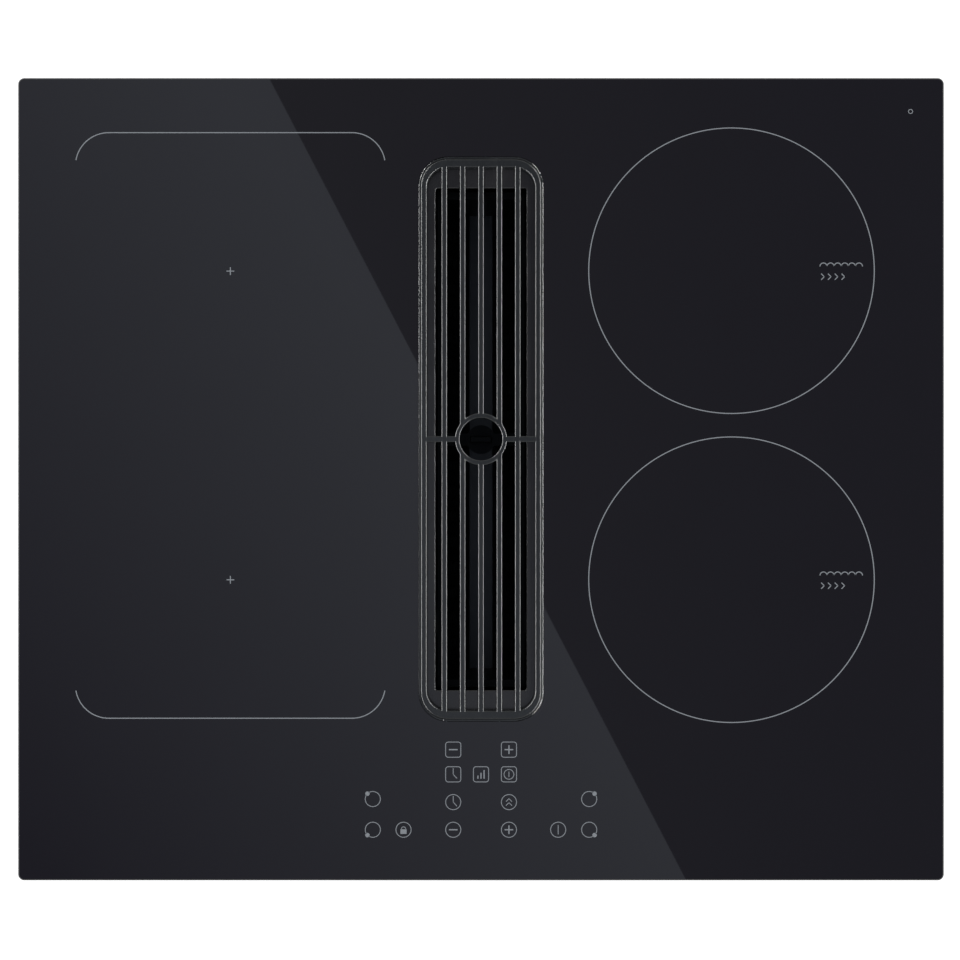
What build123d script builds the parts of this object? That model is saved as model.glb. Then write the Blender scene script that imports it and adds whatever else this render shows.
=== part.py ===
from build123d import *
import os
from math import cos, hypot, radians, sin

# A downdraft induction cooktop: a glass top with four coils under it and an air intake in its
# middle, which draws cooking vapour down through a grille and a grease filter into a blower.
# The origin is the middle of the worktop's upper surface under the glass. +X is the cook's
# right, +Y points to the wall behind and +Z up. Sizes are in millimetres.

os.makedirs("parts", exist_ok=True)

# ---- glass top, and the worktop cut-out that the lower box drops through ----
glass_width = 600.0
glass_depth = 520.0
glass_thickness = 4.0
glass_corner_radius = 4.0
glass_edge_grind = 0.8
seal_thickness = 2.0
seal_width = 10.0
seal_inset = 2.0
side_overhang = 20.0
end_overhang = 15.0
cutout_gap = 3.0
worktop_thickness = 30.0

# ---- grille over the air intake ----
grille_width = 78.0
intake_front_gap = 12.7
intake_rear_gap = 34.7
grille_corner_radius = 17.3
grille_height = 9.0
grille_proud = 1.0
grille_rail = 4.0
grille_end_band = 5.2
grille_bar = 3.9
grille_bar_pitch = 11.9
grille_bar_count = 5
grille_ring_radius = 17.0
grille_ring_wall = 3.3
grille_edge_round = 0.8
pad_thickness = 2.0
pad_length = 12.0
pad_spread = 180.0

# ---- moulded insert that lines the cut-out in the glass ----
grille_gap = 0.4
insert_rim = 1.0
insert_rim_recess = 0.3
insert_rim_round = 0.35
insert_glass_gap = 0.35
insert_flange = 8.0
insert_flange_thickness = 1.5
mouth_side_ledge = 9.5
mouth_end_ledge = 17.8
mouth_corner_radius = 1.5
mouth_edge_round = 0.8
slack = 0.1
plastic_wall = 2.0
duct_engagement = 6.0
lug_reach = 3.0
lug_length = 14.0
lug_height = 5.0
lug_spread = 240.0

# ---- folded steel pan that carries the coils and the electronics ----
pan_drop = 50.0
pan_sheet = 1.0
pan_flange = 8.0
pan_fold_radius = 3.0
pan_duct_gap = 1.0
vent_slot_length = 24.0
vent_slot_width = 3.0
vent_slot_pitch = 7.0
vent_rows = 9
rear_vent_count = 11
rear_vent_pitch = 16.0

# ---- air well under the insert, and what stands in it ----
well_side_gap = 1.5
well_corner_radius = 6.0
well_flange = 6.0
filter_seat_drop = 16.0
filter_gap = 1.0
filter_depth = 110.0
filter_sheet = 1.2
filter_rim = 3.5
filter_gutter_width = 19.0
filter_gutter_height = 9.0
screen_thickness = 2.0
screen_play = 0.25
screen_hole = 12.0
screen_hole_pitch = 17.0
screen_end_margin = 12.0
screen_rows = 5
handle_strip = 8.0
handle_pad_radius = 9.5
handle_sheet = 2.0
handle_grip_height = 7.0
handle_grip_length = 14.0
handle_grip_width = 4.0
handle_grip_round = 1.0
tray_play = 1.5
tray_length_play = 3.0
tray_height = 24.0
tray_sheet = 1.2
tray_corner_radius = 4.0
tray_tab_width = 18.0
tray_tab_height = 8.0

# ---- blower: scroll housing, impeller and motor, on an upright axis ----
blower_y = -40.0
blower_well_gap = 6.0
blower_mount_height = 8.0
blower_mount_radius = 7.0
blower_mount_reach = 62.0
impeller_radius = 80.0
impeller_height = 66.0
impeller_top_gap = 6.0
impeller_sheet = 2.0
impeller_eye_radius = 58.0
blade_count = 11
blade_sheet = 2.0
blade_lean = 32.0
hub_cup_gap = 5.0
hub_boss_radius = 9.0
hub_boss_height = 12.0
scroll_gap = 9.0
scroll_growth = 6.0
tongue_reach = 30.0
tongue_round = 4.0
cover_screw_turns = (30, 75)
motor_screw_turns = (90, 210, 330)
diffuser_run = 38.0
housing_flange = 8.0
housing_flange_thickness = 3.0
motor_radius = 38.0
motor_height = 42.0
motor_flange_radius = 41.0
motor_flange_thickness = 3.0
motor_edge_chamfer = 3.0
motor_screw_reach = 33.0
shaft_radius = 4.0
shaft_clearance = 0.05
shaft_engagement = 21.0
shaft_chamfer = 0.5
inlet_ring_gap = 4.0
inlet_ring_wall = 2.0
inlet_ring_flange = 9.0
inlet_ring_overlap = 4.0

# ---- flat duct connection at the back, with gravity flaps ----
outlet_width = 222.0
outlet_height = 89.0
outlet_wall = 2.0
outlet_flange = 7.0
outlet_flange_thickness = 2.5
outlet_screw_pitch = 78.0
spigot_depth = 34.0
flap_count = 3
flap_sheet = 1.6
flap_gap = 1.0
flap_pin_radius = 1.5
flap_pin_clearance = 0.08
flap_barrel_radius = 2.6
flap_set_back = 5.0

# ---- plenum that joins the well to the blower, and the cup that catches spills ----
plenum_depth = 38.0
plenum_plate = 2.0
plenum_margin = 15.0
plenum_flange = 8.0
plenum_corner_radius = 8.0
plenum_side_screw_pitch = 100.0
plenum_end_screw_pitch = 128.0
cup_front_gap = 42.5
cup_radius = 37.0
cup_depth = 26.0
cup_wall = 2.0
cup_bottom_round = 4.0
cup_gap = 0.3
cup_play = 0.4
cup_ring_section = 1.4
cup_ring_groove_play = 0.1
cup_spigot_height = 11.0
cup_spigot_wall = 4.0
drain_radius = 14.0
cup_rib_count = 12
cup_rib = 1.6

# ---- cooking zones: coil, carrier, ferrite and shield plate ----
zone_front_gap = 7.5
zone_rear_gap = 10.5
zone_side_gap = 10.0
zone_duct_gap = 26.5
zone_spacing = 20.0
mica_thickness = 0.5
mica_margin = 4.0
coil_wire = 3.2
coil_pitch = 4.4
coil_inner_radius = 24.0
coil_play = 0.3
carrier_thickness = 2.7
carrier_rim = 2.0
carrier_rim_height = 2.4
carrier_eye_radius = 12.0
ferrite_count = 8
ferrite_length = 56.0
ferrite_width = 14.0
ferrite_height = 5.0
sensor_radius = 6.0
shield_sheet = 1.5
shield_margin = 6.0
post_radius = 4.0
post_inset = 9.0

# ---- electronics on the pan's floor ----
board_post_gap = 7.0
board_length = 196.0
board_thickness = 1.6
board_lift = 5.0
board_front_gap = 12.0
heatsink_side_gap = 12.0
heatsink_length = 44.0
heatsink_height = 24.0
heatsink_base = 4.0
heatsink_fin = 1.5
heatsink_fin_count = 17
capacitor_size = 32.0
capacitor_thickness = 18.0
capacitor_height = 26.0
capacitor_pitch = 51.0
choke_radius = 17.0
choke_hole_radius = 7.0
choke_height = 16.0
choke_pitch = 64.0
choke_front_gap = 49.0
cooling_fan_size = 80.0
cooling_fan_height = 15.0
cooling_fan_bore_radius = 38.0
cooling_fan_tip_gap = 1.5
cooling_fan_hub_radius = 15.0
cooling_fan_strut = 4.0
cooling_fan_blade_count = 7
cooling_fan_blade_tilt = 38.0
cooling_fan_blade_chord = 11.0
cooling_fan_blade_sheet = 1.5
cooling_fan_pin_radius = 2.0
touch_front_gap = 8.0
touch_width = 160.0
touch_length = 62.0
touch_board_thickness = 1.6
touch_carrier_depth = 10.0
touch_carrier_wall = 2.0

# ---- mains connection and worktop clamps ----
terminal_side_gap = 22.0
terminal_width = 100.0
terminal_length = 54.0
terminal_depth = 26.0
terminal_rear_gap = 12.0
terminal_block_width = 70.0
terminal_block_length = 20.0
terminal_block_height = 15.0
terminal_pole_count = 5
terminal_pole_pitch = 13.0
terminal_pole_radius = 3.2
terminal_block_shift = 7.0
wire_hole_width = 60.0
wire_hole_length = 18.0
cable_radius = 6.5
gland_radius = 10.5
gland_nut_radius = 13.0
gland_nut_length = 6.0
clamp_spread = 300.0
clamp_width = 20.0
clamp_sheet = 2.0
clamp_drop = 44.0
clamp_leg = 30.0
clamp_foot = 16.0
clamp_screw_radius = 2.0
clamp_head_radius = 4.0
clamp_head_height = 3.0

# ---- fasteners ----
screw_radius = 1.6
screw_hole_clearance = 0.15
screw_head_radius = 3.3
screw_head_height = 2.2
screw_socket = 1.2

# ---- heights and places that follow ----
glass_under_z = seal_thickness
glass_face_z = glass_under_z + glass_thickness
grille_top_z = glass_face_z + grille_proud
grille_under_z = grille_top_z - grille_height
ledge_z = grille_under_z - pad_thickness
cutout_width = glass_width - 2 * side_overhang
cutout_depth = glass_depth - 2 * end_overhang
pan_width = cutout_width - 2 * cutout_gap
pan_depth = cutout_depth - 2 * cutout_gap
touch_y = -pan_depth / 2 + touch_front_gap + touch_carrier_wall + touch_length / 2
touch_rear_y = touch_y + touch_length / 2 + touch_carrier_wall
grille_front_y = touch_rear_y + intake_front_gap
grille_rear_y = pan_depth / 2 - intake_rear_gap
grille_length = grille_rear_y - grille_front_y
intake_y = (grille_front_y + grille_rear_y) / 2
mouth_width = grille_width - 2 * mouth_side_ledge
mouth_length = grille_length - 2 * mouth_end_ledge
recess_width = grille_width + 2 * grille_gap
recess_length = grille_length + 2 * grille_gap
recess_radius = grille_corner_radius + grille_gap
pan_under_z = -pan_drop
pan_floor_z = pan_under_z + pan_sheet
duct_width = mouth_width + 2 * plastic_wall
duct_length = mouth_length + 2 * plastic_wall
well_width = duct_width + 2 * well_side_gap
well_length = duct_length + 2 * well_side_gap
housing_top_z = pan_under_z - blower_mount_height
housing_under_z = housing_top_z - outlet_height
plenum_top_z = housing_under_z - plenum_plate
plenum_under_z = plenum_top_z - plenum_depth
plenum_floor_z = plenum_under_z + plastic_wall
filter_seat_z = ledge_z - filter_seat_drop
filter_bottom_z = filter_seat_z - filter_depth
scroll_radius = impeller_radius + scroll_gap
scroll_left = scroll_radius + scroll_growth
scroll_right = scroll_radius + 4 * scroll_growth
well_reach = well_width / 2 + plastic_wall + well_flange
blower_x = well_reach + blower_well_gap + housing_flange + outlet_wall + scroll_left
outlet_x = blower_x + scroll_right + outlet_wall - outlet_width / 2
outlet_z = housing_top_z - outlet_height / 2
spigot_end_y = pan_depth / 2
outlet_end_y = spigot_end_y - spigot_depth
screw_hole_radius = screw_radius + screw_hole_clearance


def keep(builder, name):
    """Names one finished piece and writes it to its own file."""
    builder.part.label = name
    export_step(builder.part, f"parts/{name}.step")


def slab(width, length, radius, bottom, top, at=(0, 0), mode=Mode.ADD):
    """A flat block with rounded upright edges between two heights."""
    with BuildSketch(Plane.XY.offset(bottom)) as outline:
        with Locations(at):
            RectangleRounded(width, length, radius)
    extrude(outline.sketch, amount=top - bottom, mode=mode)


def block(width, length, bottom, top, at=(0, 0), mode=Mode.ADD):
    """A square-edged block between two heights."""
    with BuildSketch(Plane.XY.offset(bottom)) as outline:
        with Locations(at):
            Rectangle(width, length)
    extrude(outline.sketch, amount=top - bottom, mode=mode)


def disc(radius, bottom, top, places=((0, 0),), mode=Mode.ADD):
    """Upright round discs or holes between two heights, one at each place."""
    with BuildSketch(Plane.XY.offset(bottom)) as outline:
        with Locations(*places):
            Circle(radius)
    extrude(outline.sketch, amount=top - bottom, mode=mode)


def ring(outer, inner, bottom, top, at=(0, 0), mode=Mode.ADD):
    """An upright tube between two heights."""
    with BuildSketch(Plane.XY.offset(bottom)) as outline:
        with Locations(at):
            Circle(outer)
            Circle(inner, mode=Mode.SUBTRACT)
    extrude(outline.sketch, amount=top - bottom, mode=mode)


def rear_block(width, height, near_y, far_y, at, mode=Mode.ADD):
    """A square-edged block between two distances towards the back; at is its middle in X and Z."""
    with BuildSketch(Plane.XZ.offset(-near_y)) as outline:
        with Locations(at):
            Rectangle(width, height)
    extrude(outline.sketch, amount=-(far_y - near_y), mode=mode)


def rear_disc(radius, near_y, far_y, places, mode=Mode.ADD):
    """Round discs or holes that lie along Y, one at each place in X and Z."""
    with BuildSketch(Plane.XZ.offset(-near_y)) as outline:
        with Locations(*places):
            Circle(radius)
    extrude(outline.sketch, amount=-(far_y - near_y), mode=mode)


def screws_up(places, seat_z, length):
    """Screws driven upwards, their heads under seat_z."""
    disc(screw_head_radius, seat_z - screw_head_height, seat_z, places)
    disc(screw_radius, seat_z, seat_z + length, places)
    disc(screw_socket, seat_z - screw_head_height, seat_z - screw_head_height / 2, places, Mode.SUBTRACT)


def screws_down(places, seat_z, length):
    """Screws driven downwards, their heads on seat_z."""
    disc(screw_head_radius, seat_z, seat_z + screw_head_height, places)
    disc(screw_radius, seat_z - length, seat_z, places)
    disc(screw_socket, seat_z + screw_head_height / 2, seat_z + screw_head_height, places, Mode.SUBTRACT)


# ======================================================================================
# Glass top and its seal
# ======================================================================================
glass_cut_width = recess_width + 2 * (insert_rim + insert_glass_gap)
glass_cut_length = recess_length + 2 * (insert_rim + insert_glass_gap)
glass_cut_radius = recess_radius + insert_rim + insert_glass_gap
intake = (0, intake_y)

with BuildPart() as glass_top:
    slab(glass_width, glass_depth, glass_corner_radius, glass_under_z, glass_face_z)
    outer_rim = glass_top.edges().group_by(Axis.Z)[-1]
    chamfer(outer_rim, glass_edge_grind)
    slab(glass_cut_width, glass_cut_length, glass_cut_radius, glass_under_z, glass_face_z, intake,
         Mode.SUBTRACT)
keep(glass_top, "glass_top")

with BuildPart() as glass_seal:
    seal_outer_width = glass_width - 2 * seal_inset
    seal_outer_depth = glass_depth - 2 * seal_inset
    slab(seal_outer_width, seal_outer_depth, glass_corner_radius, 0, glass_under_z)
    seal_inner_width = seal_outer_width - 2 * seal_width
    seal_inner_depth = seal_outer_depth - 2 * seal_width
    slab(seal_inner_width, seal_inner_depth, glass_corner_radius, 0, glass_under_z, mode=Mode.SUBTRACT)
keep(glass_seal, "glass_seal")

# ======================================================================================
# Insert: a rim in the glass, a ledge for the grille, a mouth, and a short duct with filter lugs
# ======================================================================================
rim_top_z = glass_face_z - insert_rim_recess
duct_end_z = pan_under_z - duct_engagement

with BuildPart() as intake_insert:
    rim_width = recess_width + 2 * insert_rim
    rim_length = recess_length + 2 * insert_rim
    rim_radius = recess_radius + insert_rim
    slab(rim_width, rim_length, rim_radius, ledge_z - plastic_wall, rim_top_z, intake)
    fillet(intake_insert.edges().group_by(Axis.Z)[-1], insert_rim_round)
    flange_grow = 2 * (insert_glass_gap + insert_flange)
    flange_low_z = glass_under_z - insert_flange_thickness
    slab(rim_width + flange_grow, rim_length + flange_grow, rim_radius + flange_grow / 2,
         flange_low_z, glass_under_z, intake)
    slab(recess_width, recess_length, recess_radius, ledge_z, rim_top_z, intake, Mode.SUBTRACT)
    slab(duct_width, duct_length, mouth_corner_radius + plastic_wall, duct_end_z,
         ledge_z - plastic_wall, intake)
    slab(mouth_width, mouth_length, mouth_corner_radius, duct_end_z, ledge_z, intake, Mode.SUBTRACT)
    for side in (-1, 1):
        for end in (-1, 1):
            lug_at = (side * (mouth_width + plastic_wall - lug_reach) / 2, intake_y + end * lug_spread / 2)
            block(lug_reach + plastic_wall, lug_length, filter_seat_z - lug_height, filter_seat_z, lug_at)
    ledge_edges = intake_insert.edges().filter_by_position(Axis.Z, ledge_z - slack, ledge_z + slack)
    mouth_edges = [e for e in ledge_edges if abs(e.center().X) < mouth_width / 2 + slack
                   and abs(e.center().Y - intake_y) < mouth_length / 2 + slack]
    fillet(mouth_edges, mouth_edge_round)
keep(intake_insert, "intake_insert")

# ======================================================================================
# Grille: a cast frame with long bars, one cross bar and a finger ring, on rubber pads
# ======================================================================================
ring_middle_radius = grille_ring_radius - grille_ring_wall / 2
inner_width = grille_width - 2 * grille_rail
inner_length = grille_length - 2 * grille_end_band
inner_radius = grille_corner_radius - grille_rail
grille_middle_z = grille_under_z + grille_height / 2

with BuildPart() as grille_frame:
    slab(grille_width, grille_length, grille_corner_radius, grille_under_z, grille_top_z, intake)
    slab(inner_width, inner_length, inner_radius, grille_under_z, grille_top_z, intake, Mode.SUBTRACT)
    fillet(grille_frame.edges().group_by(Axis.Z)[-1], grille_edge_round)

with BuildPart() as grille:
    # the bars run over the frame's middle line, so that they are cast in one with it
    with BuildSketch(Plane.XZ.offset(-intake_y)):
        with Locations((0, grille_middle_z)):
            with GridLocations(grille_bar_pitch, 1, grille_bar_count, 1):
                Rectangle(grille_bar, grille_height)
        fillet(vertices().group_by(Axis.Y)[-1], grille_edge_round)
    extrude(amount=(inner_length + grille_end_band) / 2, both=True)
    with BuildSketch(Plane.YZ):
        with Locations((intake_y, grille_middle_z)):
            Rectangle(grille_bar, grille_height)
        fillet(vertices().group_by(Axis.Y)[-1], grille_edge_round)
    extrude(amount=(inner_width + grille_rail) / 2, both=True)
    disc(ring_middle_radius, grille_under_z, grille_top_z, [intake], Mode.SUBTRACT)
    with BuildSketch(Plane.XZ.offset(-intake_y)):
        with Locations((ring_middle_radius, grille_middle_z)):
            Rectangle(grille_ring_wall, grille_height)
        fillet(vertices().group_by(Axis.Y)[-1], grille_edge_round)
    revolve(axis=Axis((0, intake_y, 0), (0, 0, 1)))
    add(grille_frame.part)
keep(grille, "grille")

with BuildPart() as grille_pads:
    side_pad_x = (grille_width - grille_rail) / 2
    end_pad_y = (grille_length - grille_end_band) / 2
    with BuildSketch(Plane.XY.offset(ledge_z)):
        with Locations(intake):
            with GridLocations(2 * side_pad_x, pad_spread, 2, 2):
                Rectangle(grille_rail - 2 * grille_gap, pad_length)
            with GridLocations(1, 2 * end_pad_y, 1, 2):
                Rectangle(pad_length, grille_rail)
    extrude(amount=pad_thickness)
keep(grille_pads, "grille_pads")

# ======================================================================================
# Grease filter: a trough of punched screens in a sheet frame, with a grip across its middle
# ======================================================================================
filter_width = mouth_width - 2 * filter_gap
filter_length = mouth_length - 2 * filter_gap
trough_width = filter_width - 2 * filter_rim
trough_length = filter_length - 2 * filter_rim
rim_high_z = filter_seat_z + filter_sheet
gutter_top_z = filter_bottom_z + filter_gutter_height

with BuildPart() as filter_frame:
    slab(filter_width, filter_length, mouth_corner_radius, filter_seat_z, rim_high_z, intake)
    block(trough_width - 2 * filter_sheet, trough_length - 2 * filter_sheet, filter_seat_z, rim_high_z,
          intake, Mode.SUBTRACT)
    for end in (-1, 1):
        inner_face_y = intake_y + end * (trough_length / 2 - filter_sheet)
        with BuildSketch(Plane.XZ.offset(-inner_face_y)):
            with BuildLine():
                Polyline(
                    (-trough_width / 2, filter_seat_z),
                    (trough_width / 2, filter_seat_z),
                    (filter_gutter_width / 2, filter_bottom_z),
                    (-filter_gutter_width / 2, filter_bottom_z),
                    close=True,
                )
            make_face()
        extrude(amount=-end * filter_sheet)
    block(filter_gutter_width, trough_length, filter_bottom_z, gutter_top_z, intake)
    block(filter_gutter_width - 2 * filter_sheet, trough_length - 2 * filter_sheet,
          filter_bottom_z + filter_sheet, gutter_top_z, intake, Mode.SUBTRACT)
keep(filter_frame, "filter_frame")

# Each screen leans from the gutter's lip up to the frame's rim.
screen_low = (filter_gutter_width / 2 - filter_sheet / 2, gutter_top_z)
screen_high = (trough_width / 2 - filter_sheet, filter_seat_z)
screen_run = (screen_high[0] - screen_low[0], screen_high[1] - screen_low[1])
screen_slope = hypot(*screen_run)
screen_length = trough_length - 2 * filter_sheet - 2 * screen_play
screen_hole_count = 1 + int((screen_length - 2 * screen_end_margin - screen_hole) / screen_hole_pitch)


def make_screen(side):
    """The punched screen on one side of the filter, side being -1 or 1."""
    middle = ((screen_low[0] + screen_high[0]) / 2, (screen_low[1] + screen_high[1]) / 2)
    outward = (side * screen_run[1] / screen_slope, 0, -screen_run[0] / screen_slope)
    lean = Plane(origin=(side * middle[0], intake_y, middle[1]), x_dir=(0, 1, 0), z_dir=outward)
    foot_gap = screen_thickness * screen_run[0] / screen_slope
    outline = Rectangle(screen_length, screen_slope - 2 * foot_gap - 2 * screen_play).wire()
    punch = RegularPolygon(screen_hole / 2, 6).wire()
    grid = GridLocations(screen_hole_pitch, screen_hole_pitch, screen_hole_count, screen_rows)
    holed = Face(outline, [punch.moved(place) for place in grid.local_locations])
    with BuildPart() as screen:
        with BuildSketch(lean.offset(-screen_thickness / 2)):
            add(holed)
        extrude(amount=screen_thickness)
    return screen


keep(make_screen(-1), "filter_screen_left")
keep(make_screen(1), "filter_screen_right")

with BuildPart() as filter_handle:
    handle_top_z = rim_high_z + handle_sheet
    block(filter_width, handle_strip, rim_high_z, handle_top_z, intake)
    disc(handle_pad_radius, rim_high_z, handle_top_z, [intake])
    block(handle_grip_length, handle_grip_width, handle_top_z, handle_top_z + handle_grip_height, intake)
    fillet(filter_handle.edges().group_by(Axis.Z)[-1], handle_grip_round)
keep(filter_handle, "filter_handle")

# ======================================================================================
# Drip tray on the plenum's floor, narrow enough to pass the filter's seats
# ======================================================================================
lug_inner_x = mouth_width / 2 - lug_reach
tray_width = 2 * (lug_inner_x - tray_play)
tray_length = mouth_length - 2 * tray_length_play

with BuildPart() as drip_tray:
    tray_top_z = plenum_floor_z + tray_height
    slab(tray_width, tray_length, tray_corner_radius, plenum_floor_z, tray_top_z, intake)
    slab(tray_width - 2 * tray_sheet, tray_length - 2 * tray_sheet, tray_corner_radius - tray_sheet,
         plenum_floor_z + tray_sheet, tray_top_z, intake, Mode.SUBTRACT)
    for end in (-1, 1):
        tab_y = intake_y + end * (tray_length - tray_sheet) / 2
        block(tray_tab_width, tray_sheet, plenum_floor_z + tray_sheet, tray_top_z + tray_tab_height,
              (0, tab_y))
keep(drip_tray, "drip_tray")

# ======================================================================================
# Air well: the upright shaft below the pan, flanged at both ends
# ======================================================================================
with BuildPart() as air_well:
    wall_width = well_width + 2 * plastic_wall
    wall_length = well_length + 2 * plastic_wall
    wall_radius = well_corner_radius + plastic_wall
    flange_width = wall_width + 2 * well_flange
    flange_length = wall_length + 2 * well_flange
    slab(wall_width, wall_length, wall_radius, housing_under_z, pan_under_z, intake)
    slab(flange_width, flange_length, wall_radius + well_flange, pan_under_z - plastic_wall, pan_under_z,
         intake)
    slab(flange_width, flange_length, wall_radius + well_flange, housing_under_z,
         housing_under_z + plastic_wall, intake)
    slab(well_width, well_length, well_corner_radius, housing_under_z, pan_under_z, intake, Mode.SUBTRACT)
keep(air_well, "air_well")

with BuildPart() as well_gasket:
    # a sleeve between the insert's duct and the well's wall
    slab(well_width, well_length, well_corner_radius, duct_end_z, pan_under_z, intake)
    slab(duct_width, duct_length, mouth_corner_radius + plastic_wall, duct_end_z, pan_under_z,
         intake, Mode.SUBTRACT)
keep(well_gasket, "well_gasket")

# ======================================================================================
# Plenum: flat walls, a floor and a cover, joining the well to the blower's eye
# ======================================================================================
blower = (blower_x, blower_y)
eye_radius = impeller_eye_radius - inlet_ring_gap
inlet_hole_radius = eye_radius + inlet_ring_gap / 2
plenum_left_x = -wall_width / 2
plenum_right_x = blower_x + inlet_hole_radius + plenum_margin
plenum_width = plenum_right_x - plenum_left_x
plenum_length = wall_length
plenum_at = ((plenum_left_x + plenum_right_x) / 2, intake_y)
plenum_outer = (plenum_width + 2 * plenum_flange, plenum_length + 2 * plenum_flange)
plenum_screw_inset = plenum_flange / 2
plenum_screw_x = plenum_width / 2 + plenum_screw_inset
plenum_screw_y = plenum_length / 2 + plenum_screw_inset
plenum_screws = [
    (plenum_at[0] + side * plenum_screw_x, intake_y + step * plenum_side_screw_pitch)
    for side in (-1, 1)
    for step in (-1, 0, 1)
]
plenum_screws += [
    (plenum_at[0] + side * plenum_end_screw_pitch / 2, intake_y + end * plenum_screw_y)
    for end in (-1, 1)
    for side in (-1, 1)
]

with BuildPart() as plenum_cover:
    slab(*plenum_outer, plenum_corner_radius + plenum_flange, plenum_top_z, housing_under_z, plenum_at)
    slab(well_width, well_length, well_corner_radius, plenum_top_z, housing_under_z, intake, Mode.SUBTRACT)
    disc(inlet_hole_radius, plenum_top_z, housing_under_z, [blower], Mode.SUBTRACT)
    disc(screw_hole_radius, plenum_top_z, housing_under_z, plenum_screws, Mode.SUBTRACT)
keep(plenum_cover, "plenum_cover")

cup_y = intake_y - mouth_length / 2 + cup_front_gap
cup_at = (0, cup_y)
cup_inner_radius = cup_radius - cup_wall
cup_ring_radius = cup_inner_radius - cup_play - cup_ring_section
cup_spigot_radius = cup_ring_radius + cup_ring_section / 2
cup_ring_z = plenum_under_z - cup_spigot_height / 2
groove_radius = cup_ring_radius - cup_ring_section - cup_ring_groove_play
groove_half = cup_ring_section + cup_ring_groove_play

with BuildPart() as plenum_walls:
    slab(plenum_width, plenum_length, plenum_corner_radius, plenum_floor_z, plenum_top_z, plenum_at)
    slab(*plenum_outer, plenum_corner_radius + plenum_flange, plenum_top_z - plastic_wall, plenum_top_z,
         plenum_at)
    slab(plenum_width - 2 * plastic_wall, plenum_length - 2 * plastic_wall,
         plenum_corner_radius - plastic_wall, plenum_floor_z, plenum_top_z, plenum_at, Mode.SUBTRACT)
    disc(screw_hole_radius, plenum_top_z - plastic_wall, plenum_top_z, plenum_screws, Mode.SUBTRACT)
keep(plenum_walls, "plenum_walls")

with BuildPart() as plenum_floor:
    # a plate welded under the walls, with the drain to the cup
    slab(plenum_width, plenum_length, plenum_corner_radius, plenum_under_z, plenum_floor_z, plenum_at)
    disc(drain_radius, plenum_under_z, plenum_floor_z, [cup_at], Mode.SUBTRACT)
keep(plenum_floor, "plenum_floor")

with BuildPart() as cup_spigot:
    # a ring welded under the floor, with a groove for the cup's seal
    ring(cup_spigot_radius, cup_spigot_radius - cup_spigot_wall, plenum_under_z - cup_spigot_height,
         plenum_under_z, cup_at)
    ring(cup_spigot_radius, groove_radius, cup_ring_z - groove_half, cup_ring_z + groove_half, cup_at,
         Mode.SUBTRACT)
keep(cup_spigot, "cup_spigot")

with BuildPart() as cup_seal:
    with BuildSketch(Plane.XZ.offset(-cup_y)):
        with Locations((cup_ring_radius, cup_ring_z)):
            Circle(cup_ring_section)
    revolve(axis=Axis((0, cup_y, 0), (0, 0, 1)))
keep(cup_seal, "cup_seal")

cup_top_z = plenum_under_z - cup_gap
cup_bottom_z = cup_top_z - cup_depth

with BuildPart() as overflow_cup:
    disc(cup_radius, cup_bottom_z, cup_top_z, [cup_at])
    fillet(overflow_cup.edges().group_by(Axis.Z)[0], cup_bottom_round)
    disc(cup_inner_radius, cup_bottom_z + cup_wall, cup_top_z, [cup_at], Mode.SUBTRACT)
    with BuildSketch(Plane.XY.offset(cup_bottom_z + 2 * cup_wall)):
        with Locations(cup_at):
            with PolarLocations(cup_radius, cup_rib_count):
                Circle(cup_rib)
            Circle(cup_radius - cup_wall / 2, mode=Mode.SUBTRACT)
    extrude(amount=cup_depth - 3 * cup_wall)
keep(overflow_cup, "overflow_cup")

# ======================================================================================
# Scroll housing: quarter arcs that open out step by step, then a duct to the back
# ======================================================================================
scroll_start = (blower_x, blower_y + scroll_radius)
tongue = (blower_x + tongue_reach, blower_y + scroll_radius)
scroll_radii = [scroll_radius + (turn + 1) * scroll_growth for turn in range(3)]
scroll_headings = [(-1, 0), (0, -1), (1, 0)]
duct_inner_left = outlet_x - outlet_width / 2 + outlet_wall
duct_inner_right = outlet_x + outlet_width / 2 - outlet_wall
diffuser_y = outlet_end_y - diffuser_run
housing_floor_z = housing_under_z + outlet_wall
housing_lid_z = housing_top_z - outlet_wall
far_y = outlet_end_y + outlet_width


def scroll_outline(grow, height):
    """The scroll's air space at one height, grown outwards by a wall; its duct runs past the back."""
    with BuildSketch(Plane.XY.offset(height)) as shape:
        with BuildLine():
            Line(tongue, scroll_start)
            at = scroll_start
            for radius, heading in zip(scroll_radii, scroll_headings):
                at = JernArc(start=at, tangent=heading, radius=radius, arc_size=90) @ 1
            Polyline(at, (duct_inner_right, far_y), (duct_inner_left, far_y),
                     (duct_inner_left, diffuser_y), tongue)
        make_face()
        nose = shape.vertices().sort_by_distance((tongue[0], tongue[1], height))[0]
        fillet(nose, tongue_round)
        if grow:
            offset(amount=grow, kind=Kind.INTERSECTION)
    return shape.sketch


def scroll_rim_places(reach):
    """Places round the scroll's wall for screws, reach outside the air space."""
    corner = Vector(*scroll_start)
    places = []
    for radius, heading in zip(scroll_radii, scroll_headings):
        forward = Vector(*heading)
        left = Vector(-forward.Y, forward.X)
        centre = corner + left * radius
        for turn in cover_screw_turns:
            turned = (-left).rotate(Axis.Z, turn)
            places.append(centre + turned * (radius + reach))
        corner = centre + forward * radius
    places.append(Vector(duct_inner_right + reach, (corner.Y + diffuser_y) / 2))
    return [(place.X, place.Y) for place in places]


cover_screws = scroll_rim_places(outlet_wall + housing_flange / 2)
spigot_screws = [
    (outlet_x + step * outlet_screw_pitch, outlet_z + side * (outlet_height + outlet_flange) / 2)
    for side in (-1, 1)
    for step in (-1, 0, 1)
]
outlet_middle = (outlet_x, outlet_z)

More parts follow.
